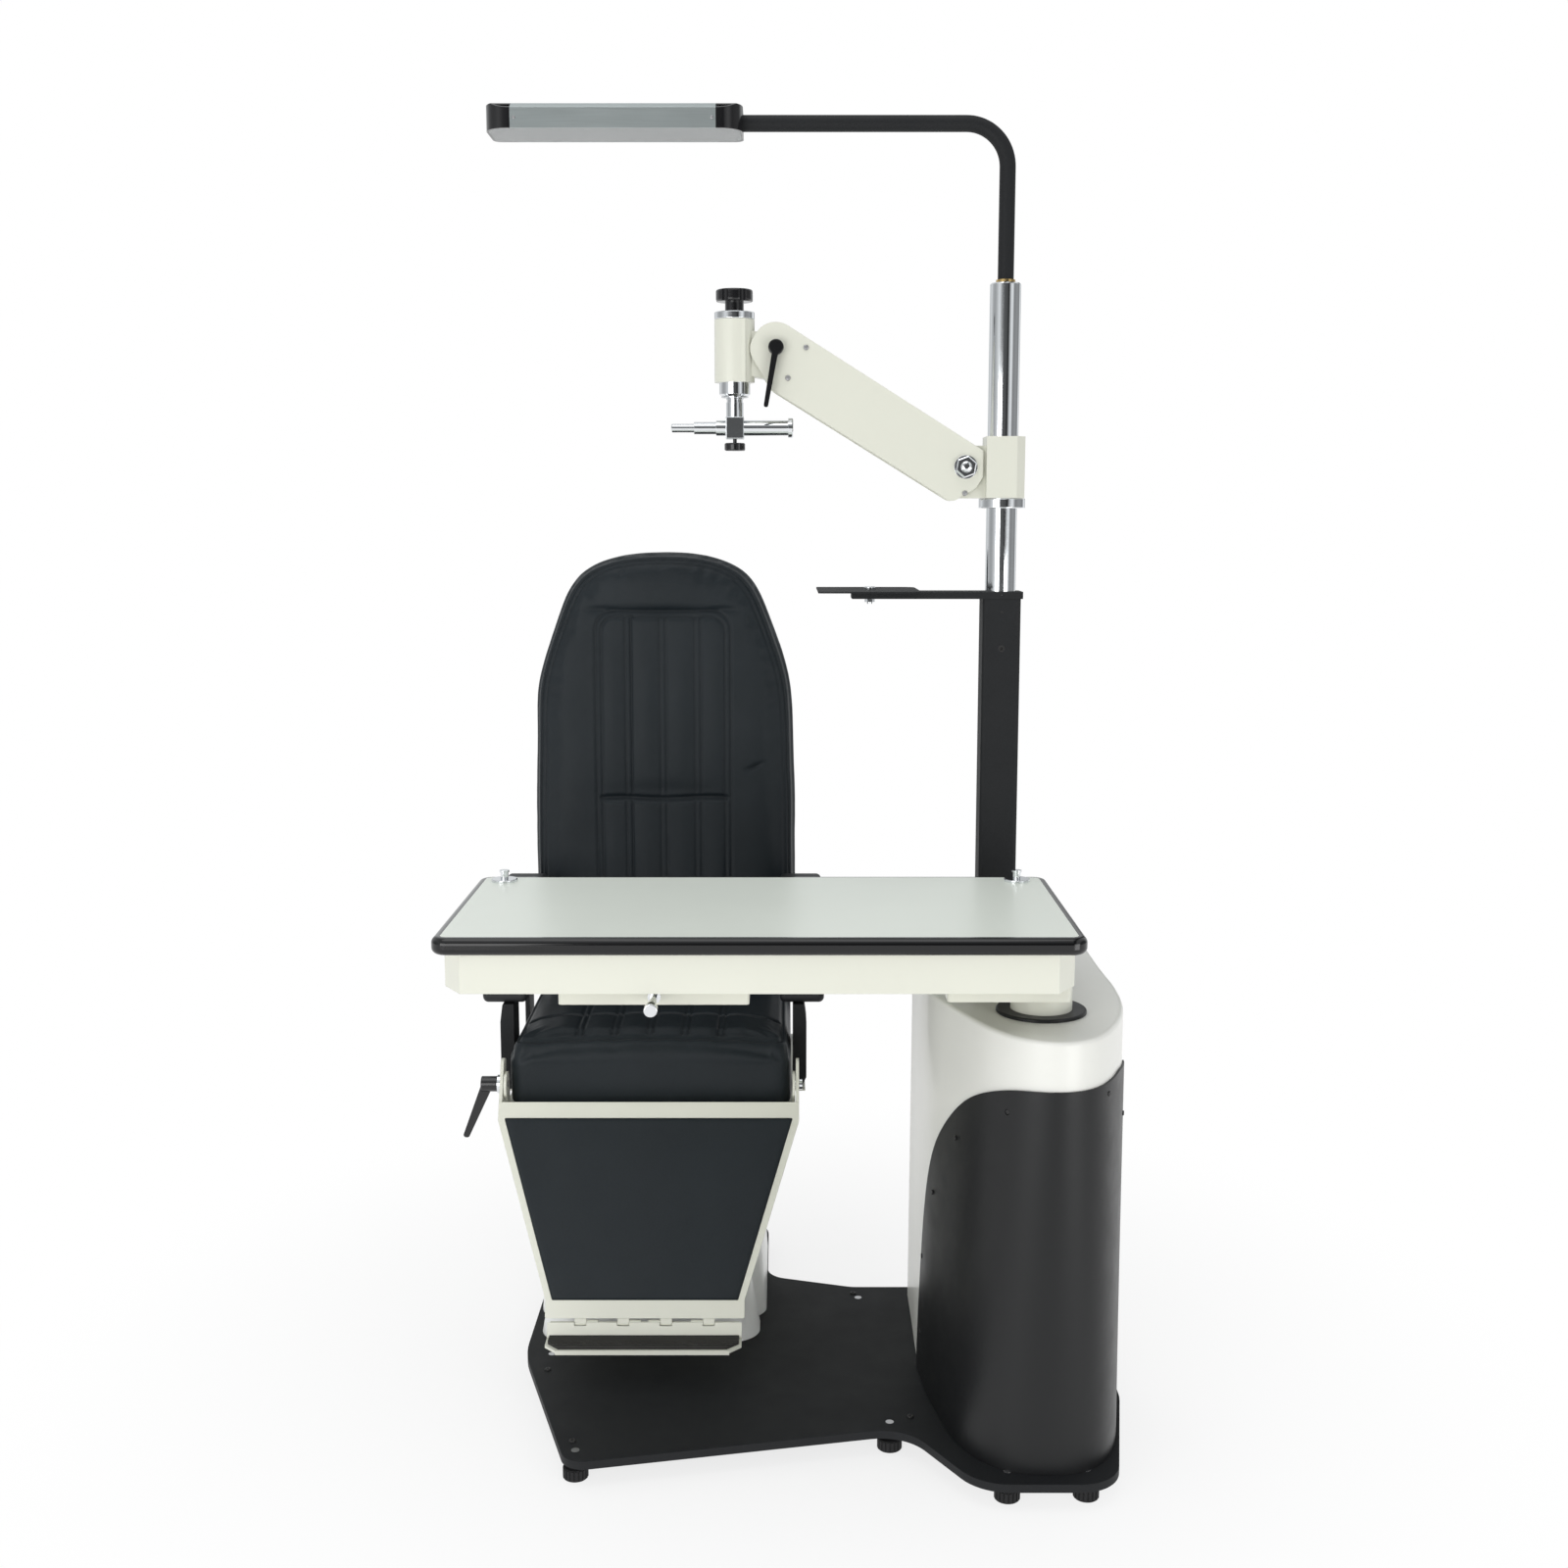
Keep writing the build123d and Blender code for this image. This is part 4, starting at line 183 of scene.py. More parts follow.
def polished(name, colour, rough=0.07, radius=0.5 * MM):
    """Chrome: near mirror with faint polishing haze and hairline scratches."""
    cloud, hairlines, scratch_depth = 24.0, 420.0, 0.004 * MM
    s = Shader(name, Metallic=1.0)
    haze = s.grain(cloud, 5.0, 0.65)
    tone = s.blend(haze, shade(colour, 0.93), shade(colour, 1.03))
    hair = s.grain(hairlines, 2.0, place=s.stretched(1.0, 1.0, 0.06))
    scratched = s.spread(hair, 0.0, 0.03, start=0.5, end=0.8)
    gloss = s.maths("ADD", s.spread(haze, rough * 0.7, rough * 1.6), scratched)
    return s.finish(tone, gloss, s.relief(hair, scratch_depth, normal=s.soft_edges(radius)))


def brushed(name, colour, along=(0.02, 1.0, 1.0), rough=0.3, radius=0.5 * MM):
    """Drawn or brushed metal: long fine lines along one axis."""
    strokes, stains, stroke_depth = 1400.0, 9.0, 0.02 * MM
    s = Shader(name, Metallic=1.0)
    lines = s.grain(strokes, 3.0, 0.6, s.stretched(*along))
    tone = s.blend(lines, shade(colour, 0.82), shade(colour, 1.12))
    stain = s.spread(s.grain(stains, 4.0), 0.0, 0.25, start=0.4, end=0.8)
    tone = s.blend(stain, tone, shade(colour, 0.8))
    gloss = s.spread(lines, rough * 0.75, rough * 1.3)
    return s.finish(tone, gloss, s.relief(lines, stroke_depth, normal=s.soft_edges(radius)))


def vinyl(name, colour):
    """Grained upholstery vinyl: small pebbles with creases between them, painted shade in the creases, duller in
    random worn patches.
    """
    wander, pebbles, rub, dull, pores = 220.0, 760.0, 6.0, 11.0, 2600.0
    warp_reach, grain_depth = 1.6 * MM, 0.07 * MM
    s = Shader(name, Specular_IOR_Level=0.27, Sheen_Weight=0.015, Sheen_Roughness=0.45)
    place = s.node("ShaderNodeVectorMath", operation="MULTIPLY_ADD")
    s.feed(place, i0=s.grain(wander, 2.0), i1=(warp_reach,) * 3, i2=s.place)
    crease = s.spread(s.cells(pebbles, place=place.outputs[0]), 0.0, 1.0, end=0.16)
    # painted shade: darker in the creases between the pebbles
    tone = s.blend(crease, shade(colour, 0.55), shade(colour, 1.06))
    lightened = s.spread(s.grain(rub, 5.0), 0.0, 0.5, start=0.35, end=0.85)
    tone = s.blend(lightened, tone, shade(colour, 1.35))
    gloss = s.maths("SUBTRACT", s.spread(s.grain(dull, 4.0), 0.42, 0.56), s.spread(crease, 0.06, 0.0))
    height = s.maths("ADD", crease, s.maths("MULTIPLY", s.grain(pores, 2.0), 0.25))
    return s.finish(tone, gloss, s.relief(height, grain_depth, 0.75))


def moulded(name, colour, rough=0.4, sparks=1300.0, spark_depth=0.03 * MM, coat=0.0, radius=0.7 * MM):
    """Moulded plastic: spark-eroded grain, slow flow marks and softened edges with a painted highlight along them.
    """
    flow_marks, dull = 8.0, 26.0
    s = Shader(name, Coat_Weight=coat, Coat_Roughness=0.08, Specular_IOR_Level=0.36)
    flow = s.grain(flow_marks, 4.0, 0.6, distortion=0.6)
    tone = s.blend(flow, shade(colour, 0.9), shade(colour, 1.12))
    # painted highlight: sharp edges lightened
    tone = s.lightened(tone, shade(colour, 1.8), radius, 0.3)
    relief = s.relief(s.grain(sparks, 3.0), spark_depth, 0.7, s.soft_edges(radius))
    return s.finish(tone, s.gloss(rough, dull, 0.82, 1.22), relief)


def laminate(name, colour):
    """Pale satin laminate: pearl texture and a faint cloud of tone."""
    cloud, flecks, dull, pearl, pearl_depth = 3.0, 1800.0, 40.0, 1100.0, 0.012 * MM
    s = Shader(name, Specular_IOR_Level=0.5)
    tone = s.blend(s.grain(cloud, 5.0), shade(colour, 0.97), shade(colour, 1.01))
    fleck = s.spread(s.grain(flecks, 2.0), 0.0, 0.12, start=0.5, end=0.75)
    tone = s.blend(fleck, tone, shade(colour, 0.93))
    gloss = s.spread(s.grain(dull, 4.0), 0.27, 0.38)
    return s.finish(tone, gloss, s.relief(s.grain(pearl, 2.0), pearl_depth))


def rubber(name, colour, rough=0.72):
    """Dusty black rubber with a fine skin."""
    specks, dull, skin, skin_depth, radius = 30.0, 22.0, 1000.0, 0.05 * MM, 0.5 * MM
    s = Shader(name, Specular_IOR_Level=0.35)
    dust = s.spread(s.grain(specks, 6.0, 0.7), 0.0, 0.45, start=0.5, end=0.85)
    tone = s.blend(dust, shade(colour, 0.85), shade(colour, 2.1))
    relief = s.relief(s.grain(skin, 3.0), skin_depth, normal=s.soft_edges(radius))
    return s.finish(tone, s.gloss(rough, dull, 0.85, 1.15), relief)


def diffuser(name, colour):
    """Clear ribbed plastic that lets the lamp housing show dimly, with painted shade in the rib valleys."""
    ribs, dull, rib_depth = 900.0, 60.0, 0.6 * MM
    s = Shader(name, Transmission_Weight=0.55, IOR=1.49, Alpha=1.0)
    split = s.feed(s.node("ShaderNodeSeparateXYZ"), Vector=s.place)
    waves = []
    for operation in ("ADD", "SUBTRACT"):
        slant = s.maths(operation, split.outputs["X"], split.outputs["Y"])
        waves.append(s.maths("ABSOLUTE", s.maths("SINE", s.maths("MULTIPLY", slant, ribs))))
    prism = s.maths("MULTIPLY", *waves)
    # painted shade: darker in the rib valleys, slightly lighter on the rib tops
    tone = s.blend(prism, shade(colour, 0.55), shade(colour, 1.05))
    return s.finish(tone, s.spread(s.grain(dull, 3.0), 0.10, 0.2), s.relief(prism, rib_depth))


def thread_finish(name, colour):
    """Sewing thread: twisted sheen along each stitch."""
    strands, strand_depth = 3200.0, 0.05 * MM
    s = Shader(name, Sheen_Weight=0.3)
    twist = s.grain(strands, 2.0, place=s.stretched(1.0, 1.0, 0.4))
    tone = s.blend(twist, shade(colour, 0.6), shade(colour, 1.6))
    return s.finish(tone, s.spread(twist, 0.5, 0.75), s.relief(twist, strand_depth))


def lamp_board(name, colour, chip=(0.9, 0.72, 0.2)):
    """Pale circuit board with rows of yellow light chips."""
    chips, dull, weave, weave_depth = 62.0, 50.0, 500.0, 0.02 * MM
    s = Shader(name)
    dots = s.spread(s.cells(chips, "F1"), 1.0, 0.0, start=0.16, end=0.22)
    tone = s.blend(dots, shade(colour, 0.9), shade(chip, 1.0))
    return s.finish(tone, s.spread(s.grain(dull, 3.0), 0.3, 0.5), s.relief(s.grain(weave, 2.0), weave_depth))


finishes = {
    "black_coat": powder_coat("black_coat", (0.0105, 0.0115, 0.0130)),
    "foot_rubber": rubber("foot_rubber", (0.016, 0.016, 0.017)),
    "bright_steel": brushed("bright_steel", (0.62, 0.62, 0.63), along=(1.0, 1.0, 0.05)),
    "dull_steel": brushed("dull_steel", (0.42, 0.42, 0.43), along=(1.0, 1.0, 0.03), rough=0.4),
    "cabinet_white": enamel("cabinet_white", (0.82, 0.82, 0.775), rough=0.36, peel=0.03 * MM),
    "panel_black": moulded("panel_black", (0.0075, 0.0080, 0.0088), rough=0.40),
    "screw_black": moulded("screw_black", (0.02, 0.02, 0.02), rough=0.42),
    "chrome": polished("chrome", (0.80, 0.82, 0.84)),
    "brass": polished("brass", (0.66, 0.47, 0.20), rough=0.2),
    "cover_grey": moulded("cover_grey", (0.84, 0.85, 0.83), rough=0.34, coat=0.15),
    "cream_enamel": enamel("cream_enamel", (0.755, 0.76, 0.665)),
    "laminate": laminate("laminate", (0.85, 0.895, 0.82)),
    "edging_black": moulded("edging_black", (0.003, 0.003, 0.0035), rough=0.14, sparks=400.0,
                            spark_depth=0.004 * MM, coat=0.3, radius=0.3 * MM),
    "knob_black": moulded("knob_black", (0.009, 0.009, 0.010), rough=0.17, sparks=500.0,
                          spark_depth=0.008 * MM, coat=0.4),
    "lamp_aluminium": brushed("lamp_aluminium", (0.43, 0.475, 0.475), along=(0.01, 1.0, 1.0), rough=0.42),
    "lens_clear": diffuser("lens_clear", (0.82, 0.85, 0.85)),
    "led_board": lamp_board("led_board", (0.75, 0.75, 0.72)),
    "black_vinyl": vinyl("black_vinyl", (0.0098, 0.0150, 0.0190)),
    "arm_black": moulded("arm_black", (0.016, 0.017, 0.019), rough=0.5, sparks=900.0, spark_depth=0.06 * MM),
    "tread_rubber": rubber("tread_rubber", (0.028, 0.027, 0.026), rough=0.55),
}
thread = thread_finish("thread", (0.003, 0.004, 0.005))


def dress(piece, slot):
    """Give a piece one of the record's finishes."""
    piece.data.materials.clear()
    piece.data.materials.append(finishes[slot])


for part in frame["record"]["subparts"]:
    dress(nodes[part["node"]], part["material_slot"])


# Meshes
def new_object(name, mesh):
    made = bpy.data.objects.new(name, mesh)
    scene.collection.objects.link(made)
    return made


def mesh_of(name, shape):
    """Mesh of a bmesh, which is freed."""
    mesh = bpy.data.meshes.new(name)
    shape.to_mesh(mesh)
    shape.free()
    return mesh


def applied(piece):
    """Turn the piece's modifiers into its mesh."""
    graph = bpy.context.evaluated_depsgraph_get()
    mesh = bpy.data.meshes.new_from_object(piece.evaluated_get(graph))
    piece.modifiers.clear()
    piece.data = mesh
    for polygon in mesh.polygons:
        polygon.use_smooth = True
    return piece


def coordinates(piece):
    values = np.empty(len(piece.data.vertices) * 3)
    piece.data.vertices.foreach_get("co", values)
    return values.reshape(-1, 3)


def normals_of(piece):
    values = np.empty(len(piece.data.vertices) * 3, np.float32)
    piece.data.vertices.foreach_get("normal", values)
    return values.reshape(-1, 3).astype(float)


def store(piece, values):
    piece.data.vertices.foreach_set("co", values.ravel())
    piece.data.update()


# Padding: a soft solid is remeshed, blown up as cloth and then sewn
VOXEL = 5 * MM
WELD_GAP = 0.01 * MM
SMOOTH_PASSES = 2
PRESSURE = 4.0
STRETCH_STIFFNESS = 40.0
BEND_STIFFNESS = 2.0
LAST_FRAME = 20
TINY = 1e-12


def remeshed(name, node, shrink, voxel=VOXEL):
    """Even skin of quads round a soft solid, drawn in a little so that it can swell."""
    piece = new_object(name, nodes[node].data.copy())
    weld = piece.modifiers.new("weld", "WELD")
    weld.merge_threshold = WELD_GAP
    skin = piece.modifiers.new("skin", "REMESH")
    skin.mode = "VOXEL"
    skin.voxel_size = voxel
    slack = piece.modifiers.new("slack", "DISPLACE")
    slack.strength = -shrink
    slack.mid_level = 0.0
    smooth = piece.modifiers.new("smooth", "SMOOTH")
    smooth.iterations = SMOOTH_PASSES
    return applied(piece)


def blown_up(piece, held):
    """Run the piece as cloth under pressure, with its held points fixed."""
    group = piece.vertex_groups.new(name="held")
    group.add([int(i) for i in np.nonzero(held)[0]], 1.0, "REPLACE")
    cloth = piece.modifiers.new("cloth", "CLOTH")
    cloth.settings.vertex_group_mass = "held"
    cloth.settings.use_pressure = True
    cloth.settings.uniform_pressure_force = PRESSURE
    cloth.settings.effector_weights.gravity = 0.0
    cloth.settings.tension_stiffness = STRETCH_STIFFNESS
    cloth.settings.compression_stiffness = STRETCH_STIFFNESS
    cloth.settings.bending_stiffness = BEND_STIFFNESS
    cloth.point_cache.frame_start = 1
    cloth.point_cache.frame_end = LAST_FRAME
    for number in range(1, LAST_FRAME + 1):
        scene.frame_set(number)
    applied(piece)
    scene.frame_set(1)


def inflated(piece, held, cap):
    """Swell the skin from its held side, with the travel of each point capped."""
    rest = coordinates(piece)
    blown_up(piece, held(rest))
    moved = coordinates(piece) - rest
    travel = np.linalg.norm(moved, axis=1)
    share = np.where(travel > cap, cap / np.maximum(travel, TINY), 1.0)
    store(piece, rest + moved * share[:, None])
    piece.vertex_groups.clear()
    finer = piece.modifiers.new("finer", "SUBSURF")
    finer.levels = finer.render_levels = 1
    return applied(piece)


# Lines in the plane that a cushion is drawn in
OUTLINE_STEP = 6 * MM
CORNER_PASSES = 3


def even(points, step):
    """The same path with points a steady step apart."""
    points = [Vector(p) for p in points]
    gaps = [(b - a).length for a, b in zip(points, points[1:])]
    count = max(2, round(sum(gaps) / step))
    out, index, done = [], 0, 0.0
    for k in range(count + 1):
        place = sum(gaps) * k / count
        while index < len(gaps) - 1 and done + gaps[index] < place:
            done += gaps[index]
            index += 1
        share = (place - done) / gaps[index] if gaps[index] else 0.0
        out.append(points[index].lerp(points[index + 1], min(1.0, max(0.0, share))))
    return out


def outline_of(node, axes):
    """Convex outline of a node in two axes, as evenly spaced points."""
    spots = [(v.co[axes[0]], v.co[axes[1]]) for v in nodes[node].data.vertices]
    loop = [Vector(spots[i]) for i in convex_hull_2d(spots)]
    return even(loop + [loop[0]], OUTLINE_STEP)[:-1]


def drawn_in(loop, distance):
    """Closed loop moved inward by a distance, with its corners smoothed."""
    middle = sum(loop, Vector((0.0, 0.0))) / len(loop)
    out = []
    for i, point in enumerate(loop):
        run = loop[(i + 1) % len(loop)] - loop[i - 1]
        side = Vector((-run.y, run.x)).normalized()
        if side.dot(middle - point) < 0:
            side = -side
        out.append(point + side * distance)
    for _ in range(CORNER_PASSES):
        out = [(out[i - 1] + out[i] * 2 + out[(i + 1) % len(out)]) / 4 for i in range(len(out))]
    return out


def straight(start, end, count):
    """Count points from start to end."""
    start, end = Vector(start), Vector(end)
    return [start.lerp(end, k / (count - 1)) for k in range(count)]


def arc(centre, radius, start, end, count=7):
    angles = [radians(start + (end - start) * k / (count - 1)) for k in range(count)]
    return [Vector((centre[0] + radius * cos(a), centre[1] + radius * sin(a))) for a in angles]


def distance_to(flat, line):
    """Distance of many plane points to a line, with the share of the way along it."""
    best = np.full(len(flat), np.inf)
    along = np.zeros(len(flat))
    total = max(1, len(line) - 1)
    for k, (a, b) in enumerate(zip(line, line[1:])):
        a, b = np.array(a[:2]), np.array(b[:2])
        run = b - a
        share = np.clip(((flat - a) @ run) / max(run @ run, TINY), 0.0, 1.0)
        gap = np.linalg.norm(flat - a - share[:, None] * run, axis=1)
        nearer = gap < best
        best[nearer] = gap[nearer]
        along[nearer] = (k + share[nearer]) / total
    return best, along


# Sewing: a side is the two axes that it is drawn in, the axis that it faces and that axis's sign
BACK_FRONT = (0, 2), 1, -1
SEAT_TOP = (0, 1), 2, 1
SEAM_REACH = 2.2             # how soon a seam fades where the skin turns away
SWELL_REACH = 1.6
RAY_START = 50 * MM
STITCH_PITCH = 4.2 * MM
STITCH_LENGTH = 3.0 * MM
STITCH_THICK = 0.55 * MM


def facing_share(sides, axis, sign, reach):
    """1 where the skin faces the side's way, fading to 0 where it turns away."""
    return np.clip(sides[:, axis] * sign * reach, 0.0, 1.0)


def pressed(piece, side, lines):
    """Press sewn lines into one side of a cushion: (line, (width, depth, share of it that fades in))."""
    axes, axis, sign = side
    spots, sides = coordinates(piece), normals_of(piece)
    flat = spots[:, list(axes)]
    depth = np.zeros(len(spots))
    for line, (width, deep, fade) in lines:
        gap, along = distance_to(flat, line)
        ends = np.clip(np.minimum(along, 1.0 - along) / fade, 0.0, 1.0) if fade else 1.0
        depth = np.maximum(depth, deep * np.exp(-((gap / width) ** 2)) * ends)
    spots[:, axis] -= sign * depth * facing_share(sides, axis, sign, SEAM_REACH)
    store(piece, spots)


def swollen(piece, side, places):
    """Soft rises and hollows on one side: (centre, (half width, half height, rise))."""
    axes, axis, sign = side
    spots, sides = coordinates(piece), normals_of(piece)
    flat = spots[:, list(axes)]
    rise = np.zeros(len(spots))
    for centre, (half_u, half_v, height) in places:
        u, v = (flat[:, 0] - centre[0]) / half_u, (flat[:, 1] - centre[1]) / half_v
        rise += height * np.exp(-(u * u + v * v))
    spots[:, axis] += sign * rise * facing_share(sides, axis, sign, SWELL_REACH)
    store(piece, spots)


def rippled(piece, ripples):
    """Unevenness of stretched vinyl over foam: (size, height) of each set of waves."""
    for size, height in ripples:
        spots, sides = coordinates(piece), normals_of(piece)
        lift = np.array([smooth_noise(Vector(p) / size) for p in spots]) * height
        store(piece, spots + sides * lift[:, None])


def lozenge(shape, spot, run, normal):
    """One stitch: an eight-sided bead lying along the run and half sunk in the skin."""
    across = normal.cross(run) * STITCH_THICK * 0.5
    end, sunk, lift = run * STITCH_LENGTH / 2, normal * STITCH_THICK * 0.3, normal * STITCH_THICK * 0.2
    corners = [shape.verts.new(spot + step)
               for step in (end - sunk, across + lift, -end - sunk, lift - across)]
    top = shape.verts.new(spot + normal * STITCH_THICK * 0.75)
    foot = shape.verts.new(spot - normal * STITCH_THICK)
    for k in range(4):
        shape.faces.new((corners[k], corners[(k + 1) % 4], top))
        shape.faces.new((corners[(k + 1) % 4], corners[k], foot))


def stitches(name, piece, side, lines):
    """Rows of small thread stitches laid on a cushion, as one object."""
    axes, axis, sign = side
    corners = [v.co for v in piece.data.vertices]
    tree = BVHTree.FromPolygons(corners, [p.vertices for p in piece.data.polygons])
    levels = [corner[axis] for corner in corners]
    start = max(levels) + RAY_START if sign > 0 else min(levels) - RAY_START
    look = Vector((0, 0, 0))
    look[axis] = -sign
    shape = bmesh.new()
    for line in lines:
        spots = even(line, STITCH_PITCH)
        for first, second in zip(spots, spots[1:]):
            origin, run = Vector((0, 0, 0)), Vector((0, 0, 0))
            origin[axes[0]], origin[axes[1]] = ((first + second) / 2)[:2]
            origin[axis] = start
            hit, normal, _, _ = tree.ray_cast(origin, look)
            if hit is None:
                continue
            run[axes[0]], run[axes[1]] = (second - first)[:2]
            lozenge(shape, hit, (run - normal * run.dot(normal)).normalized(), normal)
    made = new_object(name, mesh_of(name, shape))
    made.data.materials.append(thread)
    return made


# Seat cushion
SWELL_CAP = 6 * MM
SEAT_SLACK = 0.8 * MM
SEAT_LIVE_DEPTH = 42 * MM            # top layer that swells
SEAT_BORDER_INSET = 15 * MM
SEAT_CROSS_INSET = 16 * MM
SEAT_CROSS_DEPTH = 115 * MM          # from the front edge
SEAT_CHANNEL_PITCH = 57 * MM
SEAT_CHANNEL_HALF = 5 * MM           # half the gap of a double channel
SEAT_CHANNEL_START = 18 * MM
SEAT_CHANNEL_LENGTH = 224 * MM
SEAT_CHANNEL_POINTS = 15
SEAT_CROSS_POINTS = 25
SEAT_FRONT_PLACE, SEAT_FRONT_SWELL = 64 * MM, (21 * MM, 60 * MM, 3.5 * MM)
SEAT_REAR_PLACE, SEAT_REAR_SWELL = 200 * MM, (21 * MM, 90 * MM, 3.0 * MM)
SEAT_CHANNEL_GROOVE = (2.0 * MM, 3.6 * MM, 0.04)
SEAT_CROSS_GROOVE = (4.5 * MM, 8.0 * MM, 0.02)
SEAT_BORDER_GROOVE = (2.8 * MM, 4.4 * MM, 0)
SEAT_RIPPLES = [(90 * MM, 0.9 * MM), (20 * MM, 0.15 * MM)]


def middle_x(node):
    low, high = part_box(node)
    return (low.x + high.x) / 2


def seat_cushion():
    """Sewn seat: five double channels, a cross seam and a perimeter seam."""
    low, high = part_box("seat_cushion")
    x = middle_x("seat_cushion")
    body = inflated(remeshed("seat_cushion_soft", "seat_cushion", SEAT_SLACK),
                    lambda p: p[:, 2] < high.z - SEAT_LIVE_DEPTH, SWELL_CAP)
    loop = drawn_in(outline_of("seat_cushion", SEAT_TOP[0]), SEAT_BORDER_INSET)
    border = loop + [loop[0]]
    cross_y = low.y + SEAT_CROSS_DEPTH
    cross_start, cross_end = low.x + SEAT_CROSS_INSET, high.x - SEAT_CROSS_INSET
    cross = straight((cross_start, cross_y), (cross_end, cross_y), SEAT_CROSS_POINTS)
    channels = []
    for i in range(-2, 3):
        for side in (-1, 1):
            place = x + i * SEAT_CHANNEL_PITCH + side * SEAT_CHANNEL_HALF
            start = low.y + SEAT_CHANNEL_START
            end = start + SEAT_CHANNEL_LENGTH
            channels.append(straight((place, start), (place, end), SEAT_CHANNEL_POINTS))
    bolsters = [x + (i + 0.5) * SEAT_CHANNEL_PITCH for i in range(-3, 3)]
    for place, swell in ((SEAT_FRONT_PLACE, SEAT_FRONT_SWELL), (SEAT_REAR_PLACE, SEAT_REAR_SWELL)):
        swollen(body, SEAT_TOP, [((middle, low.y + place), swell) for middle in bolsters])
    grooves = [(line, SEAT_CHANNEL_GROOVE) for line in channels]
    pressed(body, SEAT_TOP, grooves + [(cross, SEAT_CROSS_GROOVE), (border, SEAT_BORDER_GROOVE)])
    rippled(body, SEAT_RIPPLES)
    beside_cross = [[p + Vector((0, side * SEAT_CHANNEL_HALF)) for p in cross] for side in (-1, 1)]
    return body, stitches("seat_stitches", body, SEAT_TOP, [border] + beside_cross + channels)


# Backrest cushion: heights are measured down from its top
BACK_SLACK = 1.5 * MM
BACK_LIVE_DEPTH = 34 * MM
BACK_BORDER_INSET = 14 * MM
BACK_BORDER_GAP = 7 * MM
PANEL_HALF = 120 * MM
PANEL_CORNER = 34 * MM
PANEL_SEAM_GAP = 10 * MM             # between the panel's two seams
PANEL_INNER_DROP = 11 * MM
PANEL_INNER_CORNER = 26 * MM
PANEL_TOP = 103 * MM
PANEL_FOOT = 752 * MM
PANEL_POINTS = 20
BACK_CHANNEL_PITCH = 62 * MM
BACK_CHANNEL_HALF = 5.2 * MM
BACK_CHANNEL_DROP = 13 * MM
BACK_CHANNEL_POINTS = 31
BACK_CROSS = 439 * MM
BACK_CROSS_HALF = 118 * MM
BACK_CROSS_WAVE = 1.5 * MM
BACK_CROSS_POINTS = 13
UPPER_LIFT, UPPER_SWELL = 165 * MM, (22 * MM, 135 * MM, 3.2 * MM)       # above the cross seam
LOWER_DROP, LOWER_SWELL = 120 * MM, (22 * MM, 100 * MM, 3.2 * MM)       # below it
WING_PLACE, WING_DROPS, WING_SWELL = 165 * MM, (562 * MM, 262 * MM), (42 * MM, 200 * MM, 2.5 * MM)
HEAD_LIFT, HEAD_SWELL = 42 * MM, (120 * MM, 34 * MM, 3.5 * MM)          # above the panel
PANEL_HOLLOW_DROP, PANEL_HOLLOW = 3 * MM, (84 * MM, 9 * MM, -8.0 * MM)
CROSS_HOLLOW_LIFT, CROSS_HOLLOW = 12 * MM, (100 * MM, 16 * MM, -4.5 * MM)
CORNER_PLACE, CORNER_LIFT, CORNER_HOLLOW = 104 * MM, 2 * MM, (26 * MM, 5 * MM, -4.0 * MM)
BACK_CHANNEL_GROOVE = (1.9 * MM, 3.0 * MM, 0)
BACK_CROSS_GROOVE = (4.6 * MM, 7.5 * MM, 0.03)
CREASE_GROOVE = (4.5 * MM, 6.0 * MM, 0.5)
PANEL_OUTER_GROOVE, PANEL_INNER_GROOVE = (2.2 * MM, 3.6 * MM, 0), (2.0 * MM, 3.4 * MM, 0)
BORDER_GROOVE, SECOND_GROOVE = (2.4 * MM, 4.4 * MM, 0), (2.2 * MM, 2.8 * MM, 0)
BACK_RIPPLES = [(90 * MM, 1.2 * MM), (22 * MM, 0.2 * MM)]
CREASE_START, CREASE_LENGTH, CREASE_DROP, CREASE_RISE = 140 * MM, 46 * MM, 391 * MM, 20 * MM
CREASE_BEND = 1.3
CREASE_STEPS = 8


def panel_path(x, half, top, foot, corner):
    """Upside-down U of the backrest's centre panel."""
    shoulder = top - corner
    left = straight((x - half, foot), (x - half, shoulder), PANEL_POINTS + 1)[:-1]
    bend_left = arc((x - half + corner, shoulder), corner, 180, 90)
    bend_right = arc((x + half - corner, shoulder), corner, 90, 0)
    right = straight((x + half, shoulder), (x + half, foot), PANEL_POINTS + 1)[1:]
    return left + bend_left + bend_right + right


def back_swells(x, top, cross_z, crown):
    """Rises between the channels, at the wings and over the panel, and the hollows at its seams."""
    bolsters = [x + (i + 0.5) * BACK_CHANNEL_PITCH for i in range(-2, 2)]
    rises = [((place, cross_z + UPPER_LIFT), UPPER_SWELL) for place in bolsters]
    rises += [((place, cross_z - LOWER_DROP), LOWER_SWELL) for place in bolsters]
    rises += [((x + side * WING_PLACE, crown - drop), WING_SWELL) for side in (-1, 1) for drop in WING_DROPS]
    rises += [((x, top + HEAD_LIFT), HEAD_SWELL)]
    hollows = [((x, top - PANEL_HOLLOW_DROP), PANEL_HOLLOW), ((x, cross_z + CROSS_HOLLOW_LIFT), CROSS_HOLLOW)]
    hollows += [((x + side * CORNER_PLACE, top + CORNER_LIFT), CORNER_HOLLOW) for side in (-1, 1)]
    return rises + hollows


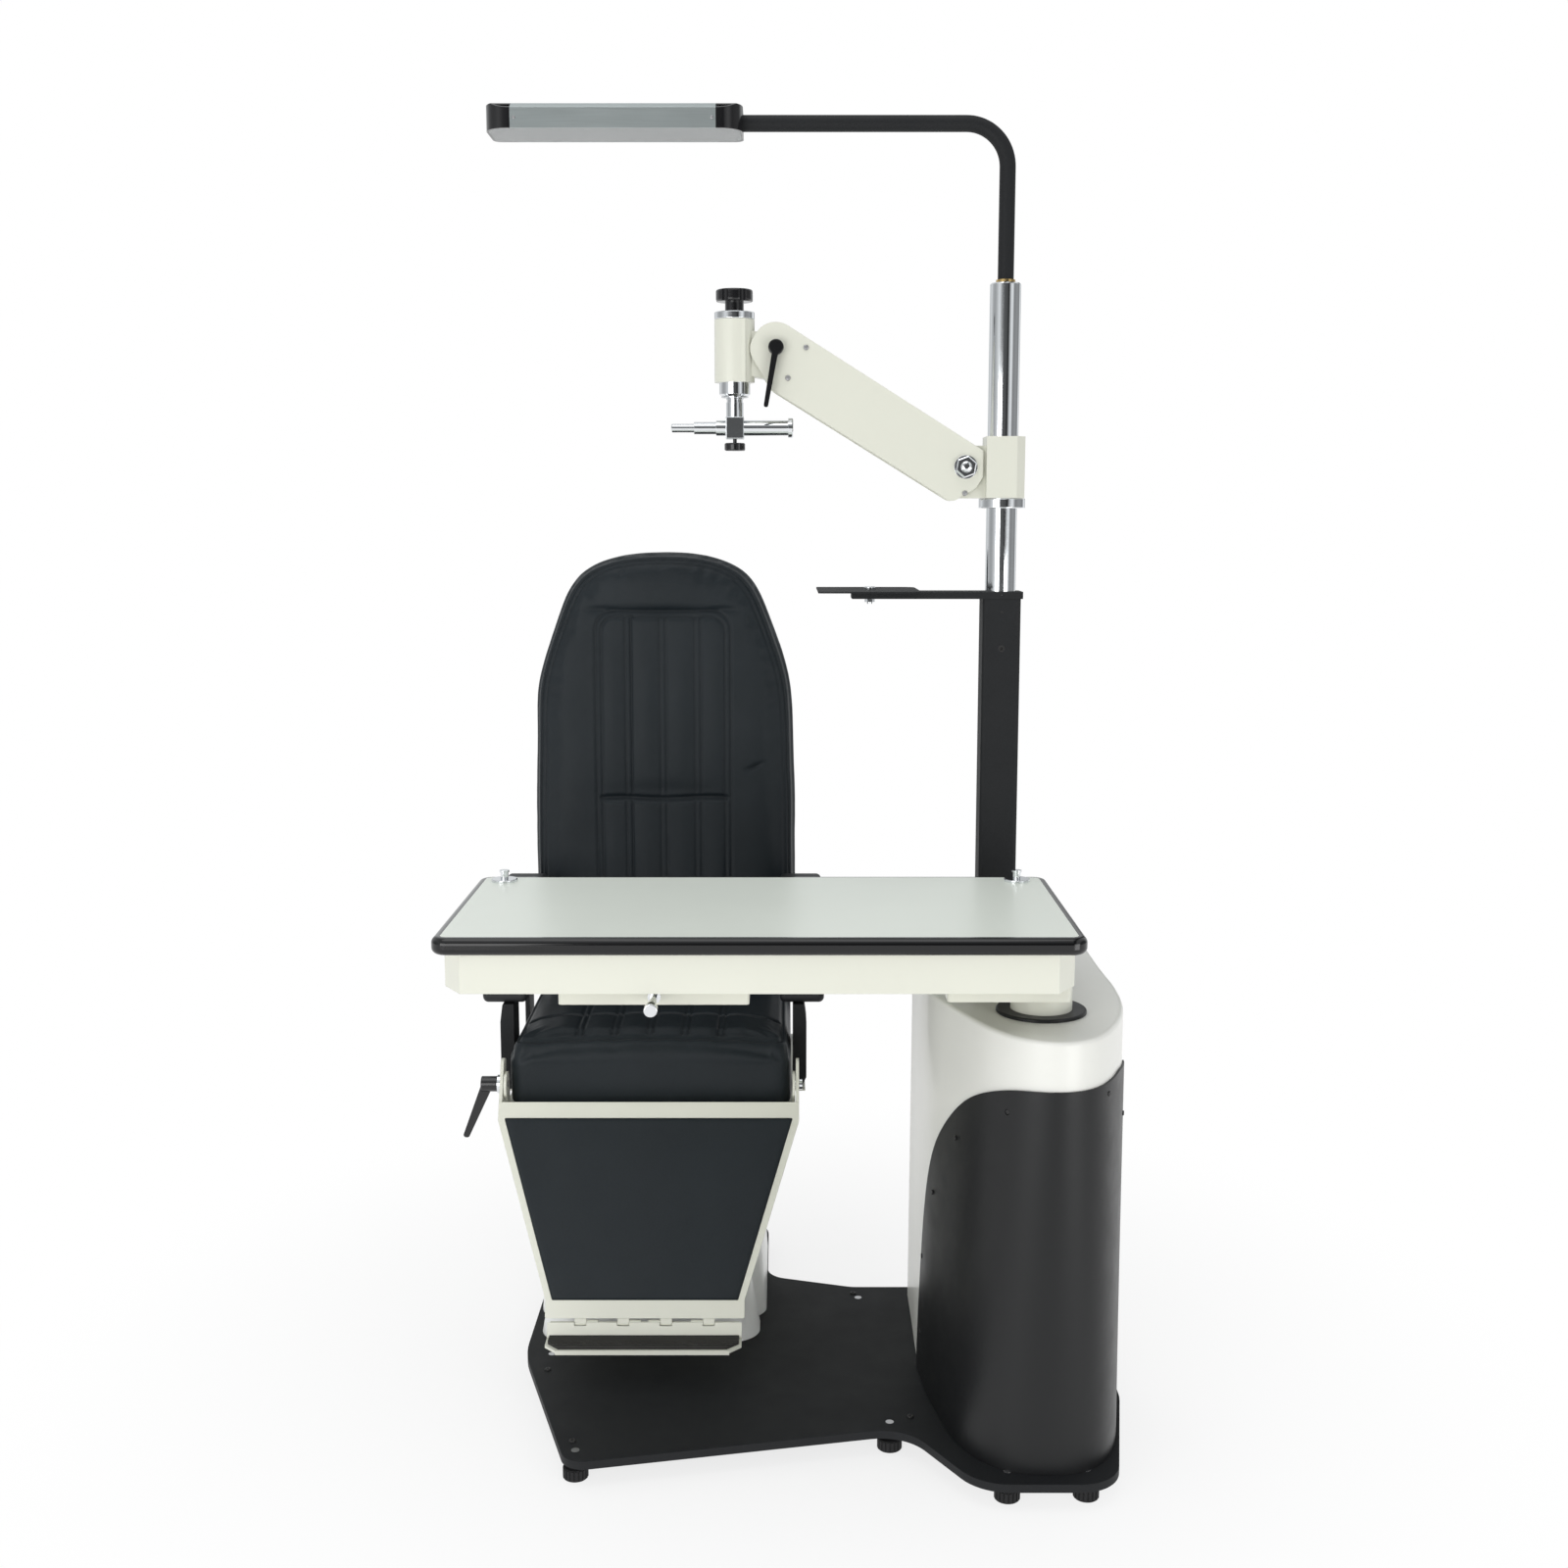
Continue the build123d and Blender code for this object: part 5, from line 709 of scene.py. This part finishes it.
def back_cushion():
    """Sewn backrest: double border, double-lined centre panel, three double channels and a cross seam."""
    low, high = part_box("back_cushion")
    x, crown = middle_x("back_cushion"), high.z
    body = inflated(remeshed("back_cushion_soft", "back_cushion", BACK_SLACK),
                    lambda p: p[:, 1] > low.y + BACK_LIVE_DEPTH, SWELL_CAP)
    loop = drawn_in(outline_of("back_cushion", BACK_FRONT[0]), BACK_BORDER_INSET)
    second_loop = drawn_in(loop, BACK_BORDER_GAP)
    border, second = loop + [loop[0]], second_loop + [second_loop[0]]
    top, foot, cross_z = crown - PANEL_TOP, crown - PANEL_FOOT, crown - BACK_CROSS
    outer = panel_path(x, PANEL_HALF, top, foot, PANEL_CORNER)
    inner = panel_path(x, PANEL_HALF - PANEL_SEAM_GAP, top - PANEL_INNER_DROP, foot, PANEL_INNER_CORNER)
    channels = []
    for i in (-1, 0, 1):
        for side in (-1, 1):
            place = x + i * BACK_CHANNEL_PITCH + side * BACK_CHANNEL_HALF
            channels.append(straight((place, foot), (place, top - BACK_CHANNEL_DROP), BACK_CHANNEL_POINTS))
    cross = straight((x - BACK_CROSS_HALF, cross_z), (x + BACK_CROSS_HALF, cross_z), BACK_CROSS_POINTS)
    cross = [p + Vector((0, BACK_CROSS_WAVE * sin(k * pi / 4))) for k, p in enumerate(cross)]
    crease = [Vector((x + CREASE_START + CREASE_LENGTH * k / CREASE_STEPS,
                      crown - CREASE_DROP + CREASE_RISE * (k / CREASE_STEPS) ** CREASE_BEND))
              for k in range(CREASE_STEPS + 1)]
    swollen(body, BACK_FRONT, back_swells(x, top, cross_z, crown))
    grooves = [(line, BACK_CHANNEL_GROOVE) for line in channels]
    grooves += [(crease, CREASE_GROOVE), (cross, BACK_CROSS_GROOVE)]
    grooves += [(outer, PANEL_OUTER_GROOVE), (inner, PANEL_INNER_GROOVE)]
    grooves += [(border, BORDER_GROOVE), (second, SECOND_GROOVE)]
    pressed(body, BACK_FRONT, grooves)
    rippled(body, BACK_RIPPLES)
    return body, stitches("back_stitches", body, BACK_FRONT, [border, second, outer, inner] + channels)


# Leg rest
LEG_SLACK = 0.3 * MM
LEG_VOXEL = 3 * MM
LEG_RIPPLES = [(80 * MM, 0.5 * MM)]


def leg_pad():
    """Plain padded panel of the leg rest, a little proud of its frame."""
    body = remeshed("leg_pad_soft", "leg_pad", LEG_SLACK, LEG_VOXEL)
    rippled(body, LEG_RIPPLES)
    return body


body_of = {node: body for body, members in frame["record"]["behaviour"]["bodies"].items() for node in members}


def soft(piece, node):
    """The piece takes the place of a soft solid and follows its body."""
    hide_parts(node)
    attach(piece, body_of[node])
    dress(piece, "black_vinyl")


def sewn(rows, node):
    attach(rows, body_of[node])


seat, seat_rows = seat_cushion()
back, back_rows = back_cushion()
soft(seat, "seat_cushion")
soft(back, "back_cushion")
soft(leg_pad(), "leg_pad")
sewn(seat_rows, "seat_cushion")
sewn(back_rows, "back_cushion")


# Small hardware on the arm and the lamp
CASING_SCREW = 4.2 * MM
LAMP_SCREW = 2.6 * MM
LAMP_SCREW_INSET = 6 * MM
LAMP_SCREW_DROP = 4 * MM
HEXAGON_TURN = 0.35          # radians
SCREW_SIDES, WASHER_SIDES, BOLT_SIDES = 24, 40, 28
SMOOTH_FACE = 4 * MM * MM    # smaller four-sided faces are shaded smooth


def faced(name, body, slot, build):
    """Small solid made by a bmesh builder, dressed and riding on a body."""
    shape = bmesh.new()
    build(shape)
    made = new_object(name, mesh_of(name, shape))
    for polygon in made.data.polygons:
        polygon.use_smooth = len(polygon.vertices) == 4 and polygon.area < SMOOTH_FACE
    dress(made, slot)
    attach(made, body)


def ring_of(shape, centre, radius, depth_y, count, turn):
    return [shape.verts.new((centre[0] + radius * cos(turn + 2 * pi * k / count), depth_y,
                             centre[1] + radius * sin(turn + 2 * pi * k / count))) for k in range(count)]


def turned(shape, centre, steps, count, turn=0.0):
    """Round or many-sided body on an axis along Y: steps are (radius, y) from the back to the front."""
    rings = [ring_of(shape, centre, radius, y, count, turn) for radius, y in steps]
    for low, high in zip(rings, rings[1:]):
        for k in range(count):
            shape.faces.new((low[k], low[(k + 1) % count], high[(k + 1) % count], high[k]))
    shape.faces.new(rings[-1])
    shape.faces.new(list(reversed(rings[0])))


def pan_screw(name, body, slot, x, y, z, radius):
    """Low round head with a hexagon socket, seated on a face that looks towards -Y."""
    head_shares = [(1.0, 0.0), (1.0, 0.35), (0.8, 0.6), (0.5, 0.62)]
    socket_shares = [(0.42, 0.3), (0.42, 0.66)]

    def build(shape):
        turned(shape, (x, z), [(radius * wide, y - radius * out) for wide, out in head_shares], SCREW_SIDES)
        turned(shape, (x, z), [(radius * wide, y - radius * out) for wide, out in socket_shares], 6)
    faced(name, body, slot, build)


def pivot_nut(x, y, z):
    """Washer, chamfered hexagon nut and domed bolt end at the arm's lower pivot."""
    washer = [(18.4 * MM, 0.0), (18.4 * MM, 1.4 * MM), (17.9 * MM, 1.8 * MM)]
    nut = [(17.4 * MM, 1.8 * MM), (17.4 * MM, 9.6 * MM), (15.2 * MM, 11.0 * MM)]
    bolt_end = [(8.5 * MM, 10.0 * MM), (8.5 * MM, 12.6 * MM), (6.6 * MM, 14.0 * MM), (3.2 * MM, 14.7 * MM)]

    def build(shape):
        for steps, sides, turn in ((washer, WASHER_SIDES, 0.0), (nut, 6, HEXAGON_TURN),
                                   (bolt_end, BOLT_SIDES, 0.0)):
            turned(shape, (x, z), [(radius, y - out) for radius, out in steps], sides, turn)
    faced("pivot_nut", "clamp", "chrome", build)


pivots = {joint["name"]: Vector(joint["pos_m"]) for joint in frame["joints"] if "pos_m" in joint}
upper, lower = pivots["head_level"], pivots["arm_lift"]
arm_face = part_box("arm_casing")[0].y
lamp_low, lamp_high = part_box("lamp_body")
lamp_level = (lamp_low.z + lamp_high.z) / 2 - LAMP_SCREW_DROP
# each screw's pivot and its place from there, along X and Z
casing_screws = [(upper, 46.3 * MM, 0.2 * MM), (upper, 18.4 * MM, -45.8 * MM), (lower, -1.0 * MM, -40.5 * MM)]
for number, (pivot, across, up) in enumerate(casing_screws):
    x, z = pivot.x + across, pivot.z + up
    pan_screw("casing_screw_%d" % number, "arm", "dull_steel", x, arm_face, z, CASING_SCREW)
for number, x in enumerate((lamp_low.x + LAMP_SCREW_INSET, lamp_high.x - LAMP_SCREW_INSET)):
    pan_screw("lamp_screw_%d" % number, "lamp_head", "dull_steel", x, lamp_low.y, lamp_level, LAMP_SCREW)
pivot_nut(lower.x, arm_face, lower.z)


# Camera
EYE = (0.0066, -2.781, 1.350)
TILT = 8.6                  # degrees below level
LENS = 41.175
SENSOR = 36.0


def camera():
    lens = bpy.data.cameras.new("camera")
    lens.lens, lens.sensor_width = LENS, SENSOR
    made = bpy.data.objects.new("camera", lens)
    made.location = EYE
    made.rotation_euler = (radians(90.0 - TILT), 0.0, 0.0)
    scene.collection.objects.link(made)
    scene.camera = made


# Light
LAMPS = {                   # place, target, width, height, watts
    "key": ((-1.5, -2.8, 1.0), (0.0, -0.1, 0.4), 1.8, 1.6, 28.0),
    "fill": ((1.9, -2.4, 0.6), (0.1, 0.0, 0.35), 1.4, 1.2, 15.0),
    "top": ((-0.2, -0.6, 3.6), (0.0, -0.1, 0.6), 2.6, 2.2, 22.0),
}
WHITE = (1.0, 1.0, 1.0, 1.0)
STUDIO_TINT = (0.97, 0.99, 1.0)
STUDIO_LEVEL = 0.95
BEHIND_CAMERA = (-0.97, -0.72, 0.14, 1.0)       # darker patch: from and to on Y, its level and the plain one
STUDIO_BANDS = [            # share of the way from left to right, level
    (0.0, 0.42), (0.10, 0.85), (0.26, 0.62), (0.38, 0.88), (0.50, 0.72), (0.60, 0.55), (0.66, 0.10),
    (0.70, 0.12), (0.74, 0.90), (0.88, 0.95), (0.95, 0.25), (1.0, 0.35)]
FLOOR_SIZE = 30.0
FLOOR_COLOUR = (0.93, 0.93, 0.93, 1.0)
FLOOR_ROUGH = 0.7
FLOOR_FADE = (0.35, 1.3, 0.78, 1.0)             # from and to in metres, share of white at each


def area(name, place, target, width, height, power):
    light = bpy.data.lights.new(name, "AREA")
    light.shape, light.size, light.size_y = "RECTANGLE", width, height
    light.energy = power
    made = bpy.data.objects.new(name, light)
    made.location = place
    made.rotation_euler = (Vector(target) - Vector(place)).to_track_quat("-Z", "Y").to_euler()
    scene.collection.objects.link(made)


def ranged(tree, value, limits, smooth=False):
    """Map Range node fed by a value, with its four limits set."""
    made = tree.nodes.new("ShaderNodeMapRange")
    if smooth:
        made.interpolation_type = "SMOOTHSTEP"
    tree.links.new(value, made.inputs[0])
    for socket, limit in zip(made.inputs[1:5], limits):
        socket.default_value = limit
    return made.outputs[0]


def joined(tree, operation, first, second):
    """Math node on a value and a second value or a number."""
    made = tree.nodes.new("ShaderNodeMath")
    made.operation = operation
    tree.links.new(first, made.inputs[0])
    if isinstance(second, bpy.types.NodeSocket):
        tree.links.new(second, made.inputs[1])
    else:
        made.inputs[1].default_value = second
    return made.outputs[0]


def banded(tree, share):
    """Colour ramp of the studio's lighter and darker bands."""
    ramp = tree.nodes.new("ShaderNodeValToRGB")
    stops = ramp.color_ramp.elements
    while len(stops) < len(STUDIO_BANDS):
        stops.new(0.5)
    for stop, (place, level) in zip(stops, STUDIO_BANDS):
        stop.position, stop.color = place, shade(STUDIO_TINT, level)
    tree.links.new(share, ramp.inputs[0])
    return ramp.outputs[0]


def studio_world():
    """White surround for the camera and a softer, uneven one for the light that falls on the object."""
    world = bpy.data.worlds.new("studio")
    world.use_nodes = True
    scene.world = world
    tree = world.node_tree
    tree.nodes.clear()
    place = tree.nodes.new("ShaderNodeTexCoord")
    split = tree.nodes.new("ShaderNodeSeparateXYZ")
    tree.links.new(place.outputs["Generated"], split.inputs[0])
    seen = tree.nodes.new("ShaderNodeBackground")
    seen.inputs["Color"].default_value = WHITE
    around = tree.nodes.new("ShaderNodeBackground")
    share = ranged(tree, split.outputs["X"], (-1.0, 1.0, 0.0, 1.0))
    tree.links.new(banded(tree, share), around.inputs["Color"])
    power = joined(tree, "MULTIPLY", ranged(tree, split.outputs["Y"], BEHIND_CAMERA), STUDIO_LEVEL)
    tree.links.new(power, around.inputs["Strength"])
    path = tree.nodes.new("ShaderNodeLightPath")
    shown = joined(tree, "MAXIMUM", path.outputs["Is Camera Ray"], path.outputs["Is Transmission Ray"])
    mix = tree.nodes.new("ShaderNodeMixShader")
    tree.links.new(shown, mix.inputs[0])
    tree.links.new(around.outputs[0], mix.inputs[1])
    tree.links.new(seen.outputs[0], mix.inputs[2])
    out = tree.nodes.new("ShaderNodeOutputWorld")
    tree.links.new(mix.outputs[0], out.inputs["Surface"])


def floor():
    """Pale floor that keeps the soft shadow near the feet and melts into the white surround."""
    bpy.ops.mesh.primitive_plane_add(size=FLOOR_SIZE, location=(0.0, 0.0, 0.0))
    ground = bpy.context.object
    ground.name = "floor"
    material = bpy.data.materials.new("floor")
    material.use_nodes = True
    tree = material.node_tree
    matt = tree.nodes["Principled BSDF"]
    matt.inputs["Base Color"].default_value = FLOOR_COLOUR
    matt.inputs["Roughness"].default_value = FLOOR_ROUGH
    glow = tree.nodes.new("ShaderNodeEmission")
    glow.inputs["Color"].default_value = WHITE
    place = tree.nodes.new("ShaderNodeTexCoord")
    away = tree.nodes.new("ShaderNodeVectorMath")
    away.operation = "LENGTH"
    tree.links.new(place.outputs["Object"], away.inputs[0])
    mix = tree.nodes.new("ShaderNodeMixShader")
    tree.links.new(ranged(tree, away.outputs["Value"], FLOOR_FADE, smooth=True), mix.inputs[0])
    tree.links.new(matt.outputs[0], mix.inputs[1])
    tree.links.new(glow.outputs[0], mix.inputs[2])
    tree.links.new(mix.outputs[0], tree.nodes["Material Output"].inputs["Surface"])
    ground.data.materials.append(material)


scene.view_settings.view_transform = "Standard"
camera()
studio_world()
for name, settings in LAMPS.items():
    area(name, *settings)
floor()
